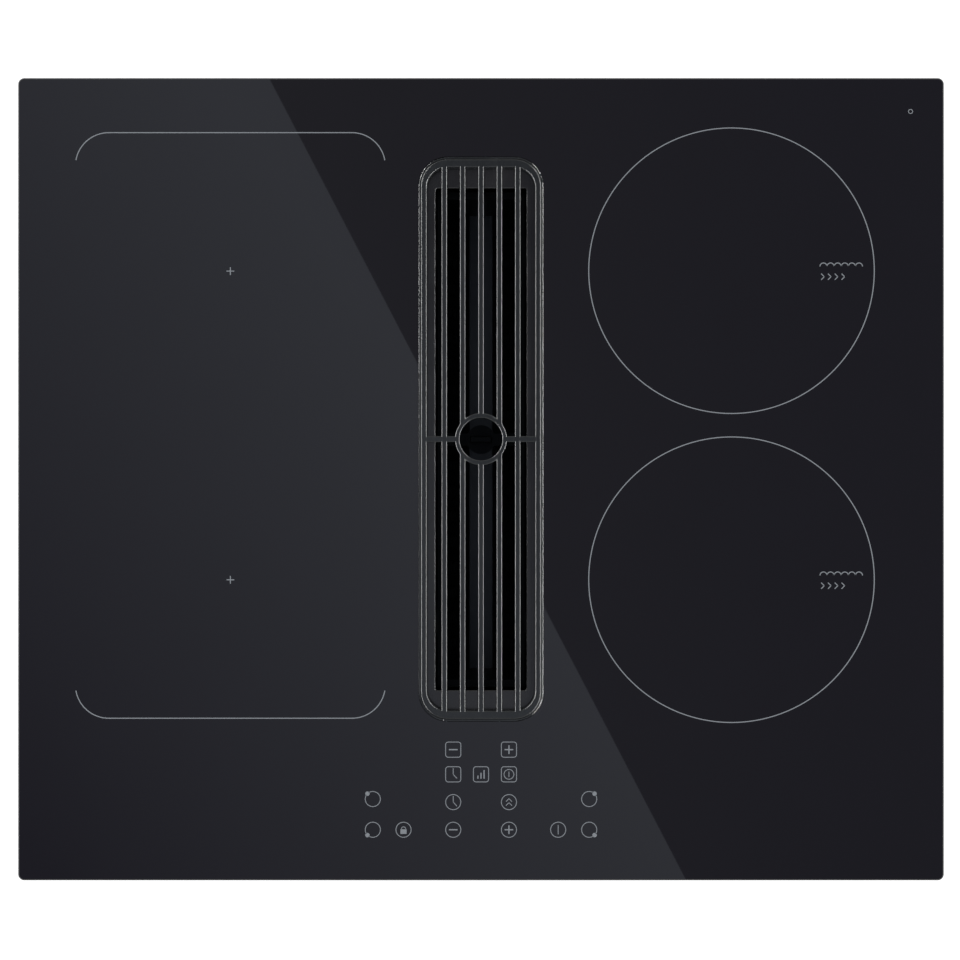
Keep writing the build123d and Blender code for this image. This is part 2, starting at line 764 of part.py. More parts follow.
with BuildPart() as volute_body:
    extrude(scroll_outline(outlet_wall, housing_under_z), amount=housing_lid_z - housing_under_z)
    extrude(scroll_outline(outlet_wall + housing_flange, housing_lid_z - housing_flange_thickness),
            amount=housing_flange_thickness)
    block(2 * far_y, far_y, housing_lid_z - housing_flange_thickness, housing_lid_z,
          (blower_x, diffuser_y + far_y / 2), Mode.SUBTRACT)
    extrude(scroll_outline(0, housing_floor_z), amount=housing_lid_z - housing_floor_z, mode=Mode.SUBTRACT)
    block(2 * far_y, far_y, housing_under_z, housing_lid_z, (blower_x, outlet_end_y + far_y / 2),
          Mode.SUBTRACT)
    # the rear duct, closed all round
    rear_block(outlet_width, outlet_height, diffuser_y, outlet_end_y, outlet_middle)
    rear_block(outlet_width + 2 * outlet_flange, outlet_height + 2 * outlet_flange,
               outlet_end_y - outlet_flange_thickness, outlet_end_y, outlet_middle)
    rear_block(outlet_width - 2 * outlet_wall, outlet_height - 2 * outlet_wall, diffuser_y, outlet_end_y,
               outlet_middle, Mode.SUBTRACT)
    disc(inlet_hole_radius, housing_under_z, housing_floor_z, [blower], Mode.SUBTRACT)
    disc(screw_hole_radius, housing_lid_z - housing_flange_thickness, housing_lid_z, cover_screws,
         Mode.SUBTRACT)
    rear_disc(screw_hole_radius, outlet_end_y - outlet_flange_thickness, outlet_end_y, spigot_screws,
              Mode.SUBTRACT)
keep(volute_body, "volute_body")

motor_screws = [
    (blower_x + motor_screw_reach * cos(radians(turn)), blower_y + motor_screw_reach * sin(radians(turn)))
    for turn in motor_screw_turns
]

with BuildPart() as volute_cover:
    extrude(scroll_outline(outlet_wall + housing_flange, housing_lid_z), amount=outlet_wall)
    block(2 * far_y, far_y, housing_lid_z, housing_top_z, (blower_x, diffuser_y + far_y / 2), Mode.SUBTRACT)
    disc(screw_hole_radius, housing_lid_z, housing_top_z, cover_screws + motor_screws, Mode.SUBTRACT)
keep(volute_cover, "volute_cover")

with BuildPart() as inlet_ring:
    eye_top_z = housing_lid_z - impeller_top_gap - impeller_height + inlet_ring_overlap
    ring(eye_radius, eye_radius - inlet_ring_wall, housing_under_z, eye_top_z, blower)
    ring(eye_radius + inlet_ring_flange, eye_radius - inlet_ring_wall / 2, housing_floor_z,
         housing_floor_z + inlet_ring_wall, blower)
    mouth_edge = inlet_ring.edges().group_by(Axis.Z)[0].sort_by(SortBy.RADIUS)[0]
    chamfer(mouth_edge, inlet_ring_wall / 2)
keep(inlet_ring, "inlet_ring")

# ======================================================================================
# Motor, its shaft and the impeller that turns round the motor's can
# ======================================================================================
impeller_top_z = housing_lid_z - impeller_top_gap
impeller_under_z = impeller_top_z - impeller_height
cup_inside = motor_radius + hub_cup_gap
cup_outside = cup_inside + impeller_sheet
motor_under_z = housing_lid_z - motor_flange_thickness - motor_height
cup_floor_z = motor_under_z - hub_cup_gap
shaft_under_z = cup_floor_z - impeller_sheet - hub_boss_height

with BuildPart() as fan_motor:
    disc(motor_flange_radius, housing_lid_z - motor_flange_thickness, housing_lid_z, [blower])
    disc(motor_radius, motor_under_z, housing_lid_z - motor_flange_thickness, [blower])
    chamfer(fan_motor.edges().group_by(Axis.Z)[0], motor_edge_chamfer)
    disc(screw_hole_radius, housing_lid_z - motor_flange_thickness, housing_lid_z, motor_screws,
         Mode.SUBTRACT)
    disc(shaft_radius + shaft_clearance, motor_under_z, motor_under_z + shaft_engagement, [blower],
         Mode.SUBTRACT)
keep(fan_motor, "fan_motor")

with BuildPart() as motor_shaft:
    disc(shaft_radius, shaft_under_z, motor_under_z + shaft_engagement - shaft_clearance, [blower])
    chamfer(motor_shaft.edges().group_by(Axis.Z)[0], shaft_chamfer)
keep(motor_shaft, "motor_shaft")

blade_root = impeller_eye_radius + blade_sheet
blade_reach = impeller_radius - blade_root - blade_sheet
blade_arc = JernArc(
    start=(0, 0),
    tangent=(cos(radians(blade_lean)), -sin(radians(blade_lean))),
    radius=2 * blade_reach,
    arc_size=-blade_lean,
)

with BuildPart() as impeller:
    ring(impeller_radius, cup_inside, impeller_top_z - impeller_sheet, impeller_top_z, blower)
    ring(cup_outside, cup_inside, cup_floor_z, impeller_top_z, blower)
    disc(cup_outside, cup_floor_z - impeller_sheet, cup_floor_z, [blower])
    disc(hub_boss_radius, shaft_under_z, cup_floor_z, [blower])
    ring(impeller_radius, impeller_eye_radius, impeller_under_z, impeller_under_z + impeller_sheet, blower)
    with BuildSketch(Plane.XY.offset(impeller_under_z)):
        with Locations(blower):
            with PolarLocations(blade_root, blade_count):
                SlotArc(arc=blade_arc, height=blade_sheet)
    extrude(amount=impeller_height)
    disc(shaft_radius, shaft_under_z, cup_floor_z, [blower], Mode.SUBTRACT)
keep(impeller, "impeller")

# ======================================================================================
# Duct connection at the back, with flaps that hang shut and swing up in the air stream
# ======================================================================================
spigot_inner_width = outlet_width - 2 * outlet_wall
spigot_inner_height = outlet_height - 2 * outlet_wall
flap_pitch = spigot_inner_height / flap_count
flap_height = flap_pitch - 2 * flap_gap
flap_width = spigot_inner_width - 2 * flap_gap
flap_y = outlet_end_y + flap_set_back
flap_pin_length = flap_gap + outlet_wall
flap_axes_z = [
    outlet_z + spigot_inner_height / 2 - flap_gap - flap_barrel_radius - step * flap_pitch
    for step in range(flap_count)
]


def side_pins(radius, near, far, axes, mode=Mode.ADD):
    """Round pins or holes along X at both sides of the duct, between two distances from its middle."""
    for side in (-1, 1):
        with BuildSketch(Plane.YZ.offset(outlet_x + side * near)) as outline:
            with Locations(*[(flap_y, height) for height in axes]):
                Circle(radius)
        extrude(outline.sketch, amount=side * (far - near), mode=mode)


with BuildPart() as outlet_spigot:
    rear_block(outlet_width, outlet_height, outlet_end_y, spigot_end_y, outlet_middle)
    rear_block(outlet_width + 2 * outlet_flange, outlet_height + 2 * outlet_flange, outlet_end_y,
               outlet_end_y + outlet_flange_thickness, outlet_middle)
    rear_block(spigot_inner_width, spigot_inner_height, outlet_end_y, spigot_end_y, outlet_middle,
               Mode.SUBTRACT)
    rear_disc(screw_hole_radius, outlet_end_y, outlet_end_y + outlet_flange_thickness, spigot_screws,
              Mode.SUBTRACT)
    side_pins(flap_pin_radius + flap_pin_clearance, spigot_inner_width / 2, outlet_width / 2 + outlet_flange,
              flap_axes_z, Mode.SUBTRACT)
keep(outlet_spigot, "outlet_spigot")


def make_flap(axis_z):
    """One flap with its barrel and stub pins, hanging from its pin axis."""
    with BuildPart() as flap:
        flap_low_z = axis_z + flap_barrel_radius - flap_height
        rear_block(flap_width, axis_z - flap_low_z, flap_y - flap_sheet / 2, flap_y + flap_sheet / 2,
                   (outlet_x, (axis_z + flap_low_z) / 2))
        with BuildSketch(Plane.YZ.offset(outlet_x - flap_width / 2)) as barrel:
            with Locations((flap_y, axis_z)):
                Circle(flap_barrel_radius)
        extrude(barrel.sketch, amount=flap_width)
        side_pins(flap_pin_radius, flap_width / 2, flap_width / 2 + flap_pin_length, [axis_z])
    return flap


for flap_name, axis_z in zip(("flap_top", "flap_middle", "flap_bottom"), flap_axes_z):
    keep(make_flap(axis_z), flap_name)

# ======================================================================================
# Base pan: one folded sheet with a turned-in flange, a hole for the duct and vents
# ======================================================================================
zone_front_y = touch_rear_y + zone_front_gap
zone_rear_y = pan_depth / 2 - pan_sheet - zone_rear_gap
zone_middle_y = (zone_front_y + zone_rear_y) / 2
shield_length = zone_rear_y - zone_front_y
shield_near_x = duct_width / 2 + zone_duct_gap
shield_far_x = pan_width / 2 - pan_sheet - zone_side_gap
shield_width = shield_far_x - shield_near_x
zone_x = (shield_near_x + shield_far_x) / 2
fan_places = [(-zone_x, zone_middle_y), (zone_x, zone_middle_y)]
pan_hole_width = duct_width + 2 * pan_duct_gap
pan_hole_length = duct_length + 2 * pan_duct_gap
terminal_x = -pan_width / 2 + terminal_side_gap + terminal_width / 2
terminal_y = pan_depth / 2 - terminal_rear_gap - terminal_length / 2
gland_z = pan_under_z - terminal_depth / 2

with BuildPart() as base_pan:
    slab(pan_width, pan_depth, pan_fold_radius + pan_sheet, pan_under_z, glass_under_z)
    slab(pan_width - 2 * pan_sheet, pan_depth - 2 * pan_sheet, pan_fold_radius, pan_floor_z, glass_under_z,
         mode=Mode.SUBTRACT)
    with BuildSketch(Plane.XY.offset(glass_under_z - pan_sheet)):
        RectangleRounded(pan_width, pan_depth, pan_fold_radius + pan_sheet)
        Rectangle(pan_width - 2 * pan_flange, pan_depth - 2 * pan_flange, mode=Mode.SUBTRACT)
    extrude(amount=pan_sheet)
    slab(pan_hole_width, pan_hole_length, mouth_corner_radius + plastic_wall, pan_under_z, pan_floor_z,
         intake, Mode.SUBTRACT)
    with BuildSketch(Plane.XY.offset(pan_under_z)) as floor_vents:
        with Locations(*fan_places):
            with GridLocations(vent_slot_length + vent_slot_pitch, vent_slot_pitch, 2, vent_rows):
                SlotOverall(vent_slot_length, vent_slot_width)
    extrude(floor_vents.sketch, amount=pan_sheet, mode=Mode.SUBTRACT)
    with BuildSketch(Plane.XZ.offset(-pan_depth / 2)) as rear_vents:
        for side in (-1, 1):
            with Locations((side * zone_x, pan_under_z / 2)):
                with GridLocations(rear_vent_pitch, 1, rear_vent_count, 1):
                    SlotOverall(vent_slot_length, vent_slot_width, rotation=90)
    extrude(rear_vents.sketch, amount=pan_sheet, mode=Mode.SUBTRACT)
    block(wire_hole_width, wire_hole_length, pan_under_z, pan_floor_z, (terminal_x, terminal_y),
          Mode.SUBTRACT)
keep(base_pan, "base_pan")

with BuildPart() as fan_mounts:
    with BuildSketch(Plane.XY.offset(housing_top_z)):
        with Locations(blower):
            with GridLocations(2 * blower_mount_reach, 2 * blower_mount_reach, 2, 2):
                Circle(blower_mount_radius)
    extrude(amount=blower_mount_height)
keep(fan_mounts, "fan_mounts")

# ======================================================================================
# Cooking zones, from the glass down: mica, coil, carrier, ferrite bars, shield plate
# ======================================================================================
# each coil has as many turns as fit in its share of the shield plate
carrier_room = min(shield_width / 2 - shield_margin, (shield_length - 2 * shield_margin - zone_spacing) / 4)
coil_room = carrier_room - carrier_rim - coil_play - coil_wire / 2 - coil_inner_radius
coil_turns = int(coil_room / coil_pitch)
coil_outer_radius = coil_inner_radius + coil_turns * coil_pitch + coil_wire / 2
carrier_radius = coil_outer_radius + coil_play + carrier_rim
zone_pitch = shield_length - 2 * (carrier_radius + shield_margin)
zone_places = {
    "front_left": (-zone_x, zone_middle_y - zone_pitch / 2),
    "rear_left": (-zone_x, zone_middle_y + zone_pitch / 2),
    "front_right": (zone_x, zone_middle_y - zone_pitch / 2),
    "rear_right": (zone_x, zone_middle_y + zone_pitch / 2),
}
mica_under_z = glass_under_z - mica_thickness
coil_z = mica_under_z - coil_play - coil_wire / 2
carrier_top_z = coil_z - coil_wire / 2 - coil_play
carrier_under_z = carrier_top_z - carrier_thickness
shield_top_z = carrier_under_z - ferrite_height
shield_under_z = shield_top_z - shield_sheet

with BuildPart() as mica_sheets:
    with BuildSketch(Plane.XY.offset(mica_under_z)):
        with Locations((0, zone_middle_y)):
            with GridLocations(2 * zone_x, 1, 2, 1):
                Rectangle(2 * (carrier_radius + mica_margin), shield_length)
    extrude(amount=mica_thickness)
keep(mica_sheets, "mica_sheets")


def half_turn(number):
    """Centre offset and radius of one half turn: the two centres stand half a pitch apart."""
    radius = coil_inner_radius + number * coil_pitch / 2
    return (number % 2) * coil_pitch / 2, radius


def make_coil(at):
    """One flat spiral of round stranded wire, as half turns whose radius grows by half a pitch."""
    last_shift, last_radius = half_turn(2 * coil_turns - 1)
    with BuildPart() as coil:
        with BuildLine(Plane.XY.offset(coil_z)) as path:
            start = (at[0] + coil_inner_radius, at[1])
            Line((start[0], start[1] - coil_wire), start)
            for number in range(2 * coil_turns):
                shift, radius = half_turn(number)
                CenterArc((at[0] + shift, at[1]), radius, 180 * (number % 2), 180)
            end = (at[0] + last_shift + last_radius, at[1])
            Line(end, (end[0], end[1] + coil_wire))
        with BuildSketch(Plane(origin=(start[0], start[1] - coil_wire, coil_z), z_dir=(0, 1, 0))):
            Circle(coil_wire / 2)
        sweep(path=path.line)
    return coil


def coil_gap(samples=72):
    """The least space between neighbouring turns, measured on points along the wire's middle."""
    points = []
    for number in range(2 * coil_turns):
        shift, radius = half_turn(number)
        for step in range(samples):
            angle = radians(180 * (number % 2) + 180 * step / samples)
            points.append((shift + radius * cos(angle), radius * sin(angle)))
    least = min(
        hypot(x - u, y - v)
        for index, (x, y) in enumerate(points)
        for u, v in points[index + samples:index + 4 * samples]
    )
    return least - coil_wire


def make_carrier(at):
    """The moulded disc that a coil lies on, with a low rim round it and an eye for the sensor."""
    with BuildPart() as carrier:
        disc(carrier_radius, carrier_under_z, carrier_top_z + carrier_rim_height, [at])
        disc(carrier_radius - carrier_rim, carrier_top_z, carrier_top_z + carrier_rim_height, [at],
             Mode.SUBTRACT)
        disc(carrier_eye_radius, carrier_under_z, carrier_top_z, [at], Mode.SUBTRACT)
    return carrier


for zone, at in zone_places.items():
    keep(make_coil(at), f"coil_{zone}")
    keep(make_carrier(at), f"coil_carrier_{zone}")
print("least gap between a coil's turns:", round(coil_gap(), 2), "mm")

with BuildPart() as ferrite_bars:
    ferrite_middle = (carrier_eye_radius + coil_outer_radius) / 2
    for at in zone_places.values():
        with BuildSketch(Plane.XY.offset(shield_top_z)) as bars:
            with Locations(at):
                with PolarLocations(ferrite_middle, ferrite_count):
                    Rectangle(ferrite_length, ferrite_width)
        extrude(bars.sketch, amount=ferrite_height)
keep(ferrite_bars, "ferrite_bars")

with BuildPart() as coil_sensors:
    disc(sensor_radius, shield_top_z, mica_under_z - coil_play, list(zone_places.values()))
keep(coil_sensors, "coil_sensors")


def post_places(side):
    """Where the posts under one shield plate stand."""
    reach_x = shield_width / 2 - post_inset
    reach_y = shield_length / 2 - post_inset
    middle_x = side * zone_x
    return [(middle_x + x, zone_middle_y + y) for x in (-reach_x, reach_x) for y in (-reach_y, 0, reach_y)]


def make_shield(side):
    """One aluminium plate under two zones."""
    with BuildPart() as shield:
        slab(shield_width, shield_length, post_inset, shield_under_z, shield_top_z,
             (side * zone_x, zone_middle_y))
    return shield


keep(make_shield(-1), "coil_plate_left")
keep(make_shield(1), "coil_plate_right")

with BuildPart() as plate_posts:
    disc(post_radius, pan_floor_z, shield_under_z, post_places(-1) + post_places(1))
keep(plate_posts, "plate_posts")

# ======================================================================================
# Electronics: a power board, a heatsink, its parts and a cooling fan on each side
# ======================================================================================
board_width = shield_width - 2 * (post_inset + post_radius + board_post_gap)
heatsink_width = board_width - 2 * heatsink_side_gap
board_under_z = pan_floor_z + board_lift
board_top_z = board_under_z + board_thickness
board_y = -pan_depth / 2 + board_front_gap + board_length / 2
board_rear_y = board_y + board_length / 2
heatsink_y = board_rear_y - heatsink_length / 2
choke_y = board_y - board_length / 2 + choke_front_gap


def make_board(side):
    """One printed board on four short feet."""
    with BuildPart() as board:
        block(board_width, board_length, board_under_z, board_top_z, (side * zone_x, board_y))
        foot_reach_x = board_width / 2 - board_lift
        foot_reach_y = board_length / 2 - board_lift
        feet = [
            (side * zone_x + x * foot_reach_x, board_y + y * foot_reach_y)
            for x in (-1, 1)
            for y in (-1, 1)
        ]
        disc(board_lift / 2, pan_floor_z, board_under_z, feet)
    return board


def make_fan_frame(at):
    """A square fan frame with a round bore, and four struts that hold its hub and pin."""
    with BuildPart() as frame:
        top = pan_floor_z + cooling_fan_height
        strut_top = pan_floor_z + cooling_fan_strut
        slab(cooling_fan_size, cooling_fan_size, cooling_fan_strut, pan_floor_z, top, at)
        disc(cooling_fan_bore_radius, pan_floor_z, top, [at], Mode.SUBTRACT)
        with BuildSketch(Plane.XY.offset(pan_floor_z)) as struts:
            with Locations(at):
                Rectangle(2 * cooling_fan_bore_radius + cooling_fan_tip_gap, cooling_fan_strut)
                Rectangle(cooling_fan_strut, 2 * cooling_fan_bore_radius + cooling_fan_tip_gap)
                Circle(cooling_fan_hub_radius)
        extrude(struts.sketch, amount=cooling_fan_strut)
        disc(cooling_fan_pin_radius, strut_top, top - cooling_fan_strut, [at])
    return frame


def make_fan_rotor(at):
    """A hub with tilted blades that turns on the frame's pin."""
    strut_top = pan_floor_z + cooling_fan_strut
    hub_low = strut_top + cooling_fan_tip_gap
    hub_high = pan_floor_z + cooling_fan_height
    blade_low = cooling_fan_hub_radius - cooling_fan_tip_gap
    blade_high = cooling_fan_bore_radius - 2 * cooling_fan_tip_gap
    blade_middle_z = (hub_low + hub_high) / 2
    with BuildPart() as rotor:
        disc(cooling_fan_hub_radius, hub_low, hub_high, [at])
        for number in range(cooling_fan_blade_count):
            turn = 360 * number / cooling_fan_blade_count
            root = Plane(origin=(*at, blade_middle_z)).rotated((0, 0, turn))
            with Locations(root):
                with Locations(((blade_low + blade_high) / 2, 0, 0)):
                    Box(blade_high - blade_low, cooling_fan_blade_chord, cooling_fan_blade_sheet,
                        rotation=(cooling_fan_blade_tilt, 0, 0))
        disc(cooling_fan_pin_radius + shaft_clearance, hub_low, hub_high - cooling_fan_tip_gap, [at],
             Mode.SUBTRACT)
    return rotor


for side, name in ((-1, "left"), (1, "right")):
    keep(make_board(side), f"power_board_{name}")
    keep(make_fan_frame((side * zone_x, zone_middle_y)), f"cooling_fan_{name}")
    keep(make_fan_rotor((side * zone_x, zone_middle_y)), f"fan_rotor_{name}")

heatsink_fin_pitch = (heatsink_width - heatsink_fin) / (heatsink_fin_count - 1)

with BuildPart() as heatsinks:
    # a finned aluminium heatsink on each board, its fins along the fan's air stream
    for side in (-1, 1):
        block(heatsink_width, heatsink_length, board_top_z, board_top_z + heatsink_base,
              (side * zone_x, heatsink_y))
    with BuildSketch(Plane.XY.offset(board_top_z + heatsink_base)):
        with GridLocations(2 * zone_x, 1, 2, 1):
            with Locations((0, heatsink_y)):
                with GridLocations(heatsink_fin_pitch, 1, heatsink_fin_count, 1):
                    Rectangle(heatsink_fin, heatsink_length)
    extrude(amount=heatsink_height - heatsink_base)
keep(heatsinks, "heatsinks")

with BuildPart() as power_parts:
    for side in (-1, 1):
        for across in (-1, 0, 1):
            capacitor_at = (side * zone_x + across * capacitor_pitch, board_y)
            slab(capacitor_size, capacitor_thickness, screw_radius,
                 board_top_z, board_top_z + capacitor_height, capacitor_at)
        for across in (-1, 1):
            choke_at = (side * zone_x + across * choke_pitch / 2, choke_y)
            ring(choke_radius, choke_hole_radius, board_top_z, board_top_z + choke_height, choke_at)
keep(power_parts, "power_parts")

touch_top_z = glass_under_z
touch_under_z = touch_top_z - touch_board_thickness
with BuildPart() as touch_board:
    block(touch_width, touch_length, touch_under_z, touch_top_z, (0, touch_y))
keep(touch_board, "touch_board")

with BuildPart() as touch_carrier:
    carrier_width = touch_width + 2 * touch_carrier_wall
    carrier_length = touch_length + 2 * touch_carrier_wall
    slab(carrier_width, carrier_length, touch_carrier_wall, touch_top_z - touch_carrier_depth, touch_top_z,
         (0, touch_y))
    block(touch_width, touch_length, touch_under_z, touch_top_z, (0, touch_y), Mode.SUBTRACT)
    block(touch_width - 2 * touch_carrier_wall, touch_length - 2 * touch_carrier_wall,
          touch_top_z - touch_carrier_depth + touch_carrier_wall, touch_under_z, (0, touch_y), Mode.SUBTRACT)
keep(touch_carrier, "touch_carrier")

# ======================================================================================
# Mains connection under the pan's rear left corner
# ======================================================================================
terminal_at = (terminal_x, terminal_y)
terminal_under_z = pan_under_z - terminal_depth
terminal_rear_y = terminal_y + terminal_length / 2
gland_at = (terminal_x, gland_z)

with BuildPart() as terminal_box:
    slab(terminal_width, terminal_length, pan_fold_radius, terminal_under_z, pan_under_z, terminal_at)
    slab(terminal_width - 2 * plastic_wall, terminal_length - 2 * plastic_wall, pan_fold_radius,
         terminal_under_z + plastic_wall, pan_under_z, terminal_at, Mode.SUBTRACT)
    rear_disc(gland_radius, terminal_rear_y - plastic_wall, terminal_rear_y, [gland_at], Mode.SUBTRACT)
keep(terminal_box, "terminal_box")

with BuildPart() as cable_gland:
    rear_disc(gland_radius, terminal_rear_y - 2 * plastic_wall, spigot_end_y, [gland_at])
    with BuildSketch(Plane.XZ.offset(-terminal_rear_y)) as nut:
        with Locations(gland_at):
            RegularPolygon(gland_nut_radius, 6)
    extrude(nut.sketch, amount=-gland_nut_length)
    rear_disc(cable_radius, terminal_rear_y - 2 * plastic_wall, spigot_end_y, [gland_at], Mode.SUBTRACT)
keep(cable_gland, "cable_gland")

with BuildPart() as terminal_block:
    block_floor_z = terminal_under_z + plastic_wall
    block_y = terminal_y - terminal_block_shift
    pole_places = [
        (terminal_x + (pole - (terminal_pole_count - 1) / 2) * terminal_pole_pitch, block_y)
        for pole in range(terminal_pole_count)
    ]
    block(terminal_block_width, terminal_block_length, block_floor_z, block_floor_z + terminal_block_height,
          (terminal_x, block_y))
    disc(terminal_pole_radius, block_floor_z + terminal_block_height / 2,
         block_floor_z + terminal_block_height, pole_places, Mode.SUBTRACT)
keep(terminal_block, "terminal_block")

# ======================================================================================
# Worktop clamps at the pan's sides
# ======================================================================================
clamp_foot_z = -clamp_drop
clamp_places = [(side, end * clamp_spread / 2) for side in (-1, 1) for end in (-1, 1)]
foot_middle_x = pan_width / 2 + clamp_sheet + clamp_foot / 2

with BuildPart() as clamp_brackets:
    for side, along_y in clamp_places:
        block(clamp_sheet, clamp_width, clamp_foot_z, clamp_foot_z + clamp_leg,
              (side * (pan_width + clamp_sheet) / 2, along_y))
        block(clamp_foot, clamp_width, clamp_foot_z, clamp_foot_z + clamp_sheet,
              (side * foot_middle_x, along_y))
    disc(clamp_screw_radius, clamp_foot_z, clamp_foot_z + clamp_sheet,
         [(side * foot_middle_x, along_y) for side, along_y in clamp_places], Mode.SUBTRACT)
keep(clamp_brackets, "clamp_brackets")

with BuildPart() as clamp_screws:
    screw_places = [(side * foot_middle_x, along_y) for side, along_y in clamp_places]
    disc(clamp_screw_radius, clamp_foot_z - clamp_head_height, -worktop_thickness - clamp_sheet, screw_places)
    disc(clamp_head_radius, clamp_foot_z - clamp_head_height, clamp_foot_z, screw_places)
    disc(clamp_head_radius, -worktop_thickness - clamp_sheet, -worktop_thickness, screw_places)
keep(clamp_screws, "clamp_screws")

with BuildPart() as housing_screws:
    screws_up(plenum_screws, plenum_top_z - plastic_wall, plastic_wall + plenum_plate)
    screws_down(cover_screws, housing_top_z, outlet_wall + housing_flange_thickness)
    screws_down(motor_screws, housing_top_z, outlet_wall + motor_flange_thickness)
    spigot_seat_y = outlet_end_y + outlet_flange_thickness
    rear_disc(screw_head_radius, spigot_seat_y, spigot_seat_y + screw_head_height, spigot_screws)
    rear_disc(screw_radius, outlet_end_y - outlet_flange_thickness, spigot_seat_y, spigot_screws)
keep(housing_screws, "housing_screws")
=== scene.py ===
# %% [markdown]
# # A downdraft induction cooktop
# The cooktop drops into a cut-out in a worktop. A black glass plate lies on top, and below
# it hang a folded steel pan with the coils, and an extractor: a cast grille, a grease
# filter, an air well, a blower and a flat duct to the back.
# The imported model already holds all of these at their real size, so this notebook does what
# is left. It gives each piece the finish of what it is made of, prints the marks on the
# glass, and adds the pieces that are too fine for the construction model.

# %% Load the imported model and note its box
from math import cos, pi, radians, sin

import bmesh
import bpy
from mathutils import Matrix, Vector


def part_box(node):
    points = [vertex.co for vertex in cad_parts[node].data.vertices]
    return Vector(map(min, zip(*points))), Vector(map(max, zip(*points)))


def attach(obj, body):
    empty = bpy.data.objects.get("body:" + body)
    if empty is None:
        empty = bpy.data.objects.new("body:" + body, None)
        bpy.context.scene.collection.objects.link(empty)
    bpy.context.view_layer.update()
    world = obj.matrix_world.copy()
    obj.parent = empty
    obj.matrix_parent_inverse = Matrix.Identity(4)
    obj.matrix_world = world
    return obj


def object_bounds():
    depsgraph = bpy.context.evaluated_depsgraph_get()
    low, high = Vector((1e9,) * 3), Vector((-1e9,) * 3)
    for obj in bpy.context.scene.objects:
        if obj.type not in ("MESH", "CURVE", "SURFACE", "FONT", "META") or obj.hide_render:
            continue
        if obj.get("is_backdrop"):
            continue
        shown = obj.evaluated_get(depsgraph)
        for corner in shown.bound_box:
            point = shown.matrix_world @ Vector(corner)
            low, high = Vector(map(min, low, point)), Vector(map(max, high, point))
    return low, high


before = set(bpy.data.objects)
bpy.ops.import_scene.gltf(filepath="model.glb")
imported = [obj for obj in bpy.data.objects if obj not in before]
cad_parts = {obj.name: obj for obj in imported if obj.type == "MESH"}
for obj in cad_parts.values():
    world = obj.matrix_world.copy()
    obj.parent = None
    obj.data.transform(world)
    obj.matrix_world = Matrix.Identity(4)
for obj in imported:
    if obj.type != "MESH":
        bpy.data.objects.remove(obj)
cad_box = [list(corner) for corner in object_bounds()]
MM = 0.001
print("nodes:", len(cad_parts))
print("box in mm:", [[round(value / MM, 1) for value in corner] for corner in cad_box])

# %% [markdown]
# ## The camera
# A product picture of a cooktop is taken straight from above with a long lens, so that its
# sides don't show. The lens and the distance were chosen so that the glass plate fills the
# same share of the picture as in the photograph.

# %% Camera above the glass
face_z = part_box("glass_top")[1].z
lens_mm = 100.0
sensor_mm = 36.0
view_width = 622.0 * MM
camera_height = view_width * lens_mm / sensor_mm
view_middle = Vector((-0.65 * MM, -0.5 * MM, face_z))

camera_data = bpy.data.cameras.new("camera")
camera_data.lens = lens_mm
camera_data.sensor_width = sensor_mm
camera = bpy.data.objects.new("camera", camera_data)
camera.location = view_middle + Vector((0, 0, camera_height))
bpy.context.scene.collection.objects.link(camera)
bpy.context.scene.camera = camera
bpy.context.scene.view_settings.view_transform = "Standard"
print("camera stands", round(camera_height, 3), "m above the glass")

# %% [markdown]
# ## Colours and nodes
# Colours are written as the hex values that a paint chart gives. Shaders work in linear
# light, so one function turns them over. Two small functions add a node with its settings
# and feed its inputs, which keeps every material below a short list of steps.


# %% Helpers for nodes
def linear(code):
    """A hex colour such as #20242a as linear red, green, blue and alpha."""
    shares = [int(code[start:start + 2], 16) / 255 for start in (1, 3, 5)]
    lights = [s / 12.92 if s <= 0.04045 else ((s + 0.055) / 1.055) ** 2.4 for s in shares]
    return (*lights, 1.0)


def feed(node, inputs):
    """Fills a node's inputs; each takes a value, or another node's output to link."""
    for name, value in inputs.items():
        if isinstance(value, bpy.types.NodeSocket):
            node.id_data.links.new(value, node.inputs[name])
        else:
            node.inputs[name].default_value = value


def add_node(tree, kind, settings=None, inputs=None):
    """Adds a node with its settings and its inputs."""
    node = tree.nodes.new(kind)
    for name, value in (settings or {}).items():
        setattr(node, name, value)
    feed(node, inputs or {})
    return node


def bare_material(name):
    """A new material with an empty node tree; returns both."""
    material = bpy.data.materials.new(name)
    material.use_nodes = True
    material.node_tree.nodes.clear()
    return material, material.node_tree


def start_material(name):
    """A material with a principled shader; returns it, its tree, shader and coordinates."""
    material, tree = bare_material(name)
    shader = add_node(tree, "ShaderNodeBsdfPrincipled")
    add_node(tree, "ShaderNodeOutputMaterial", inputs={"Surface": shader.outputs["BSDF"]})
    place = add_node(tree, "ShaderNodeTexCoord").outputs["Object"]
    return material, tree, shader, place


print("white is", linear("#ffffff"), "and mid grey", round(linear("#808080")[0], 3))

# %% [markdown]
# ## Patterns
# No surface is quite even: its colour, gloss and height all vary a little. Noise makes all
# three. It is laid out in the object's own coordinates, so it has a real size and needs no
# unwrapping.


# %% Helpers for patterns
def per_size(size_mm):
    """The texture scale at which one cell of a pattern is this many millimetres."""
    return 1 / (size_mm * MM)


def noise_of(tree, place, size_mm, stretch, detail):
    """Noise with cells of a real size, drawn out along each axis whose stretch is below 1."""
    mapped = add_node(tree, "ShaderNodeMapping", inputs={"Vector": place, "Scale": stretch})
    noise = add_node(tree, "ShaderNodeTexNoise", inputs={
        "Vector": mapped.outputs["Vector"], "Scale": per_size(size_mm), "Detail": detail})
    return noise.outputs["Fac"]


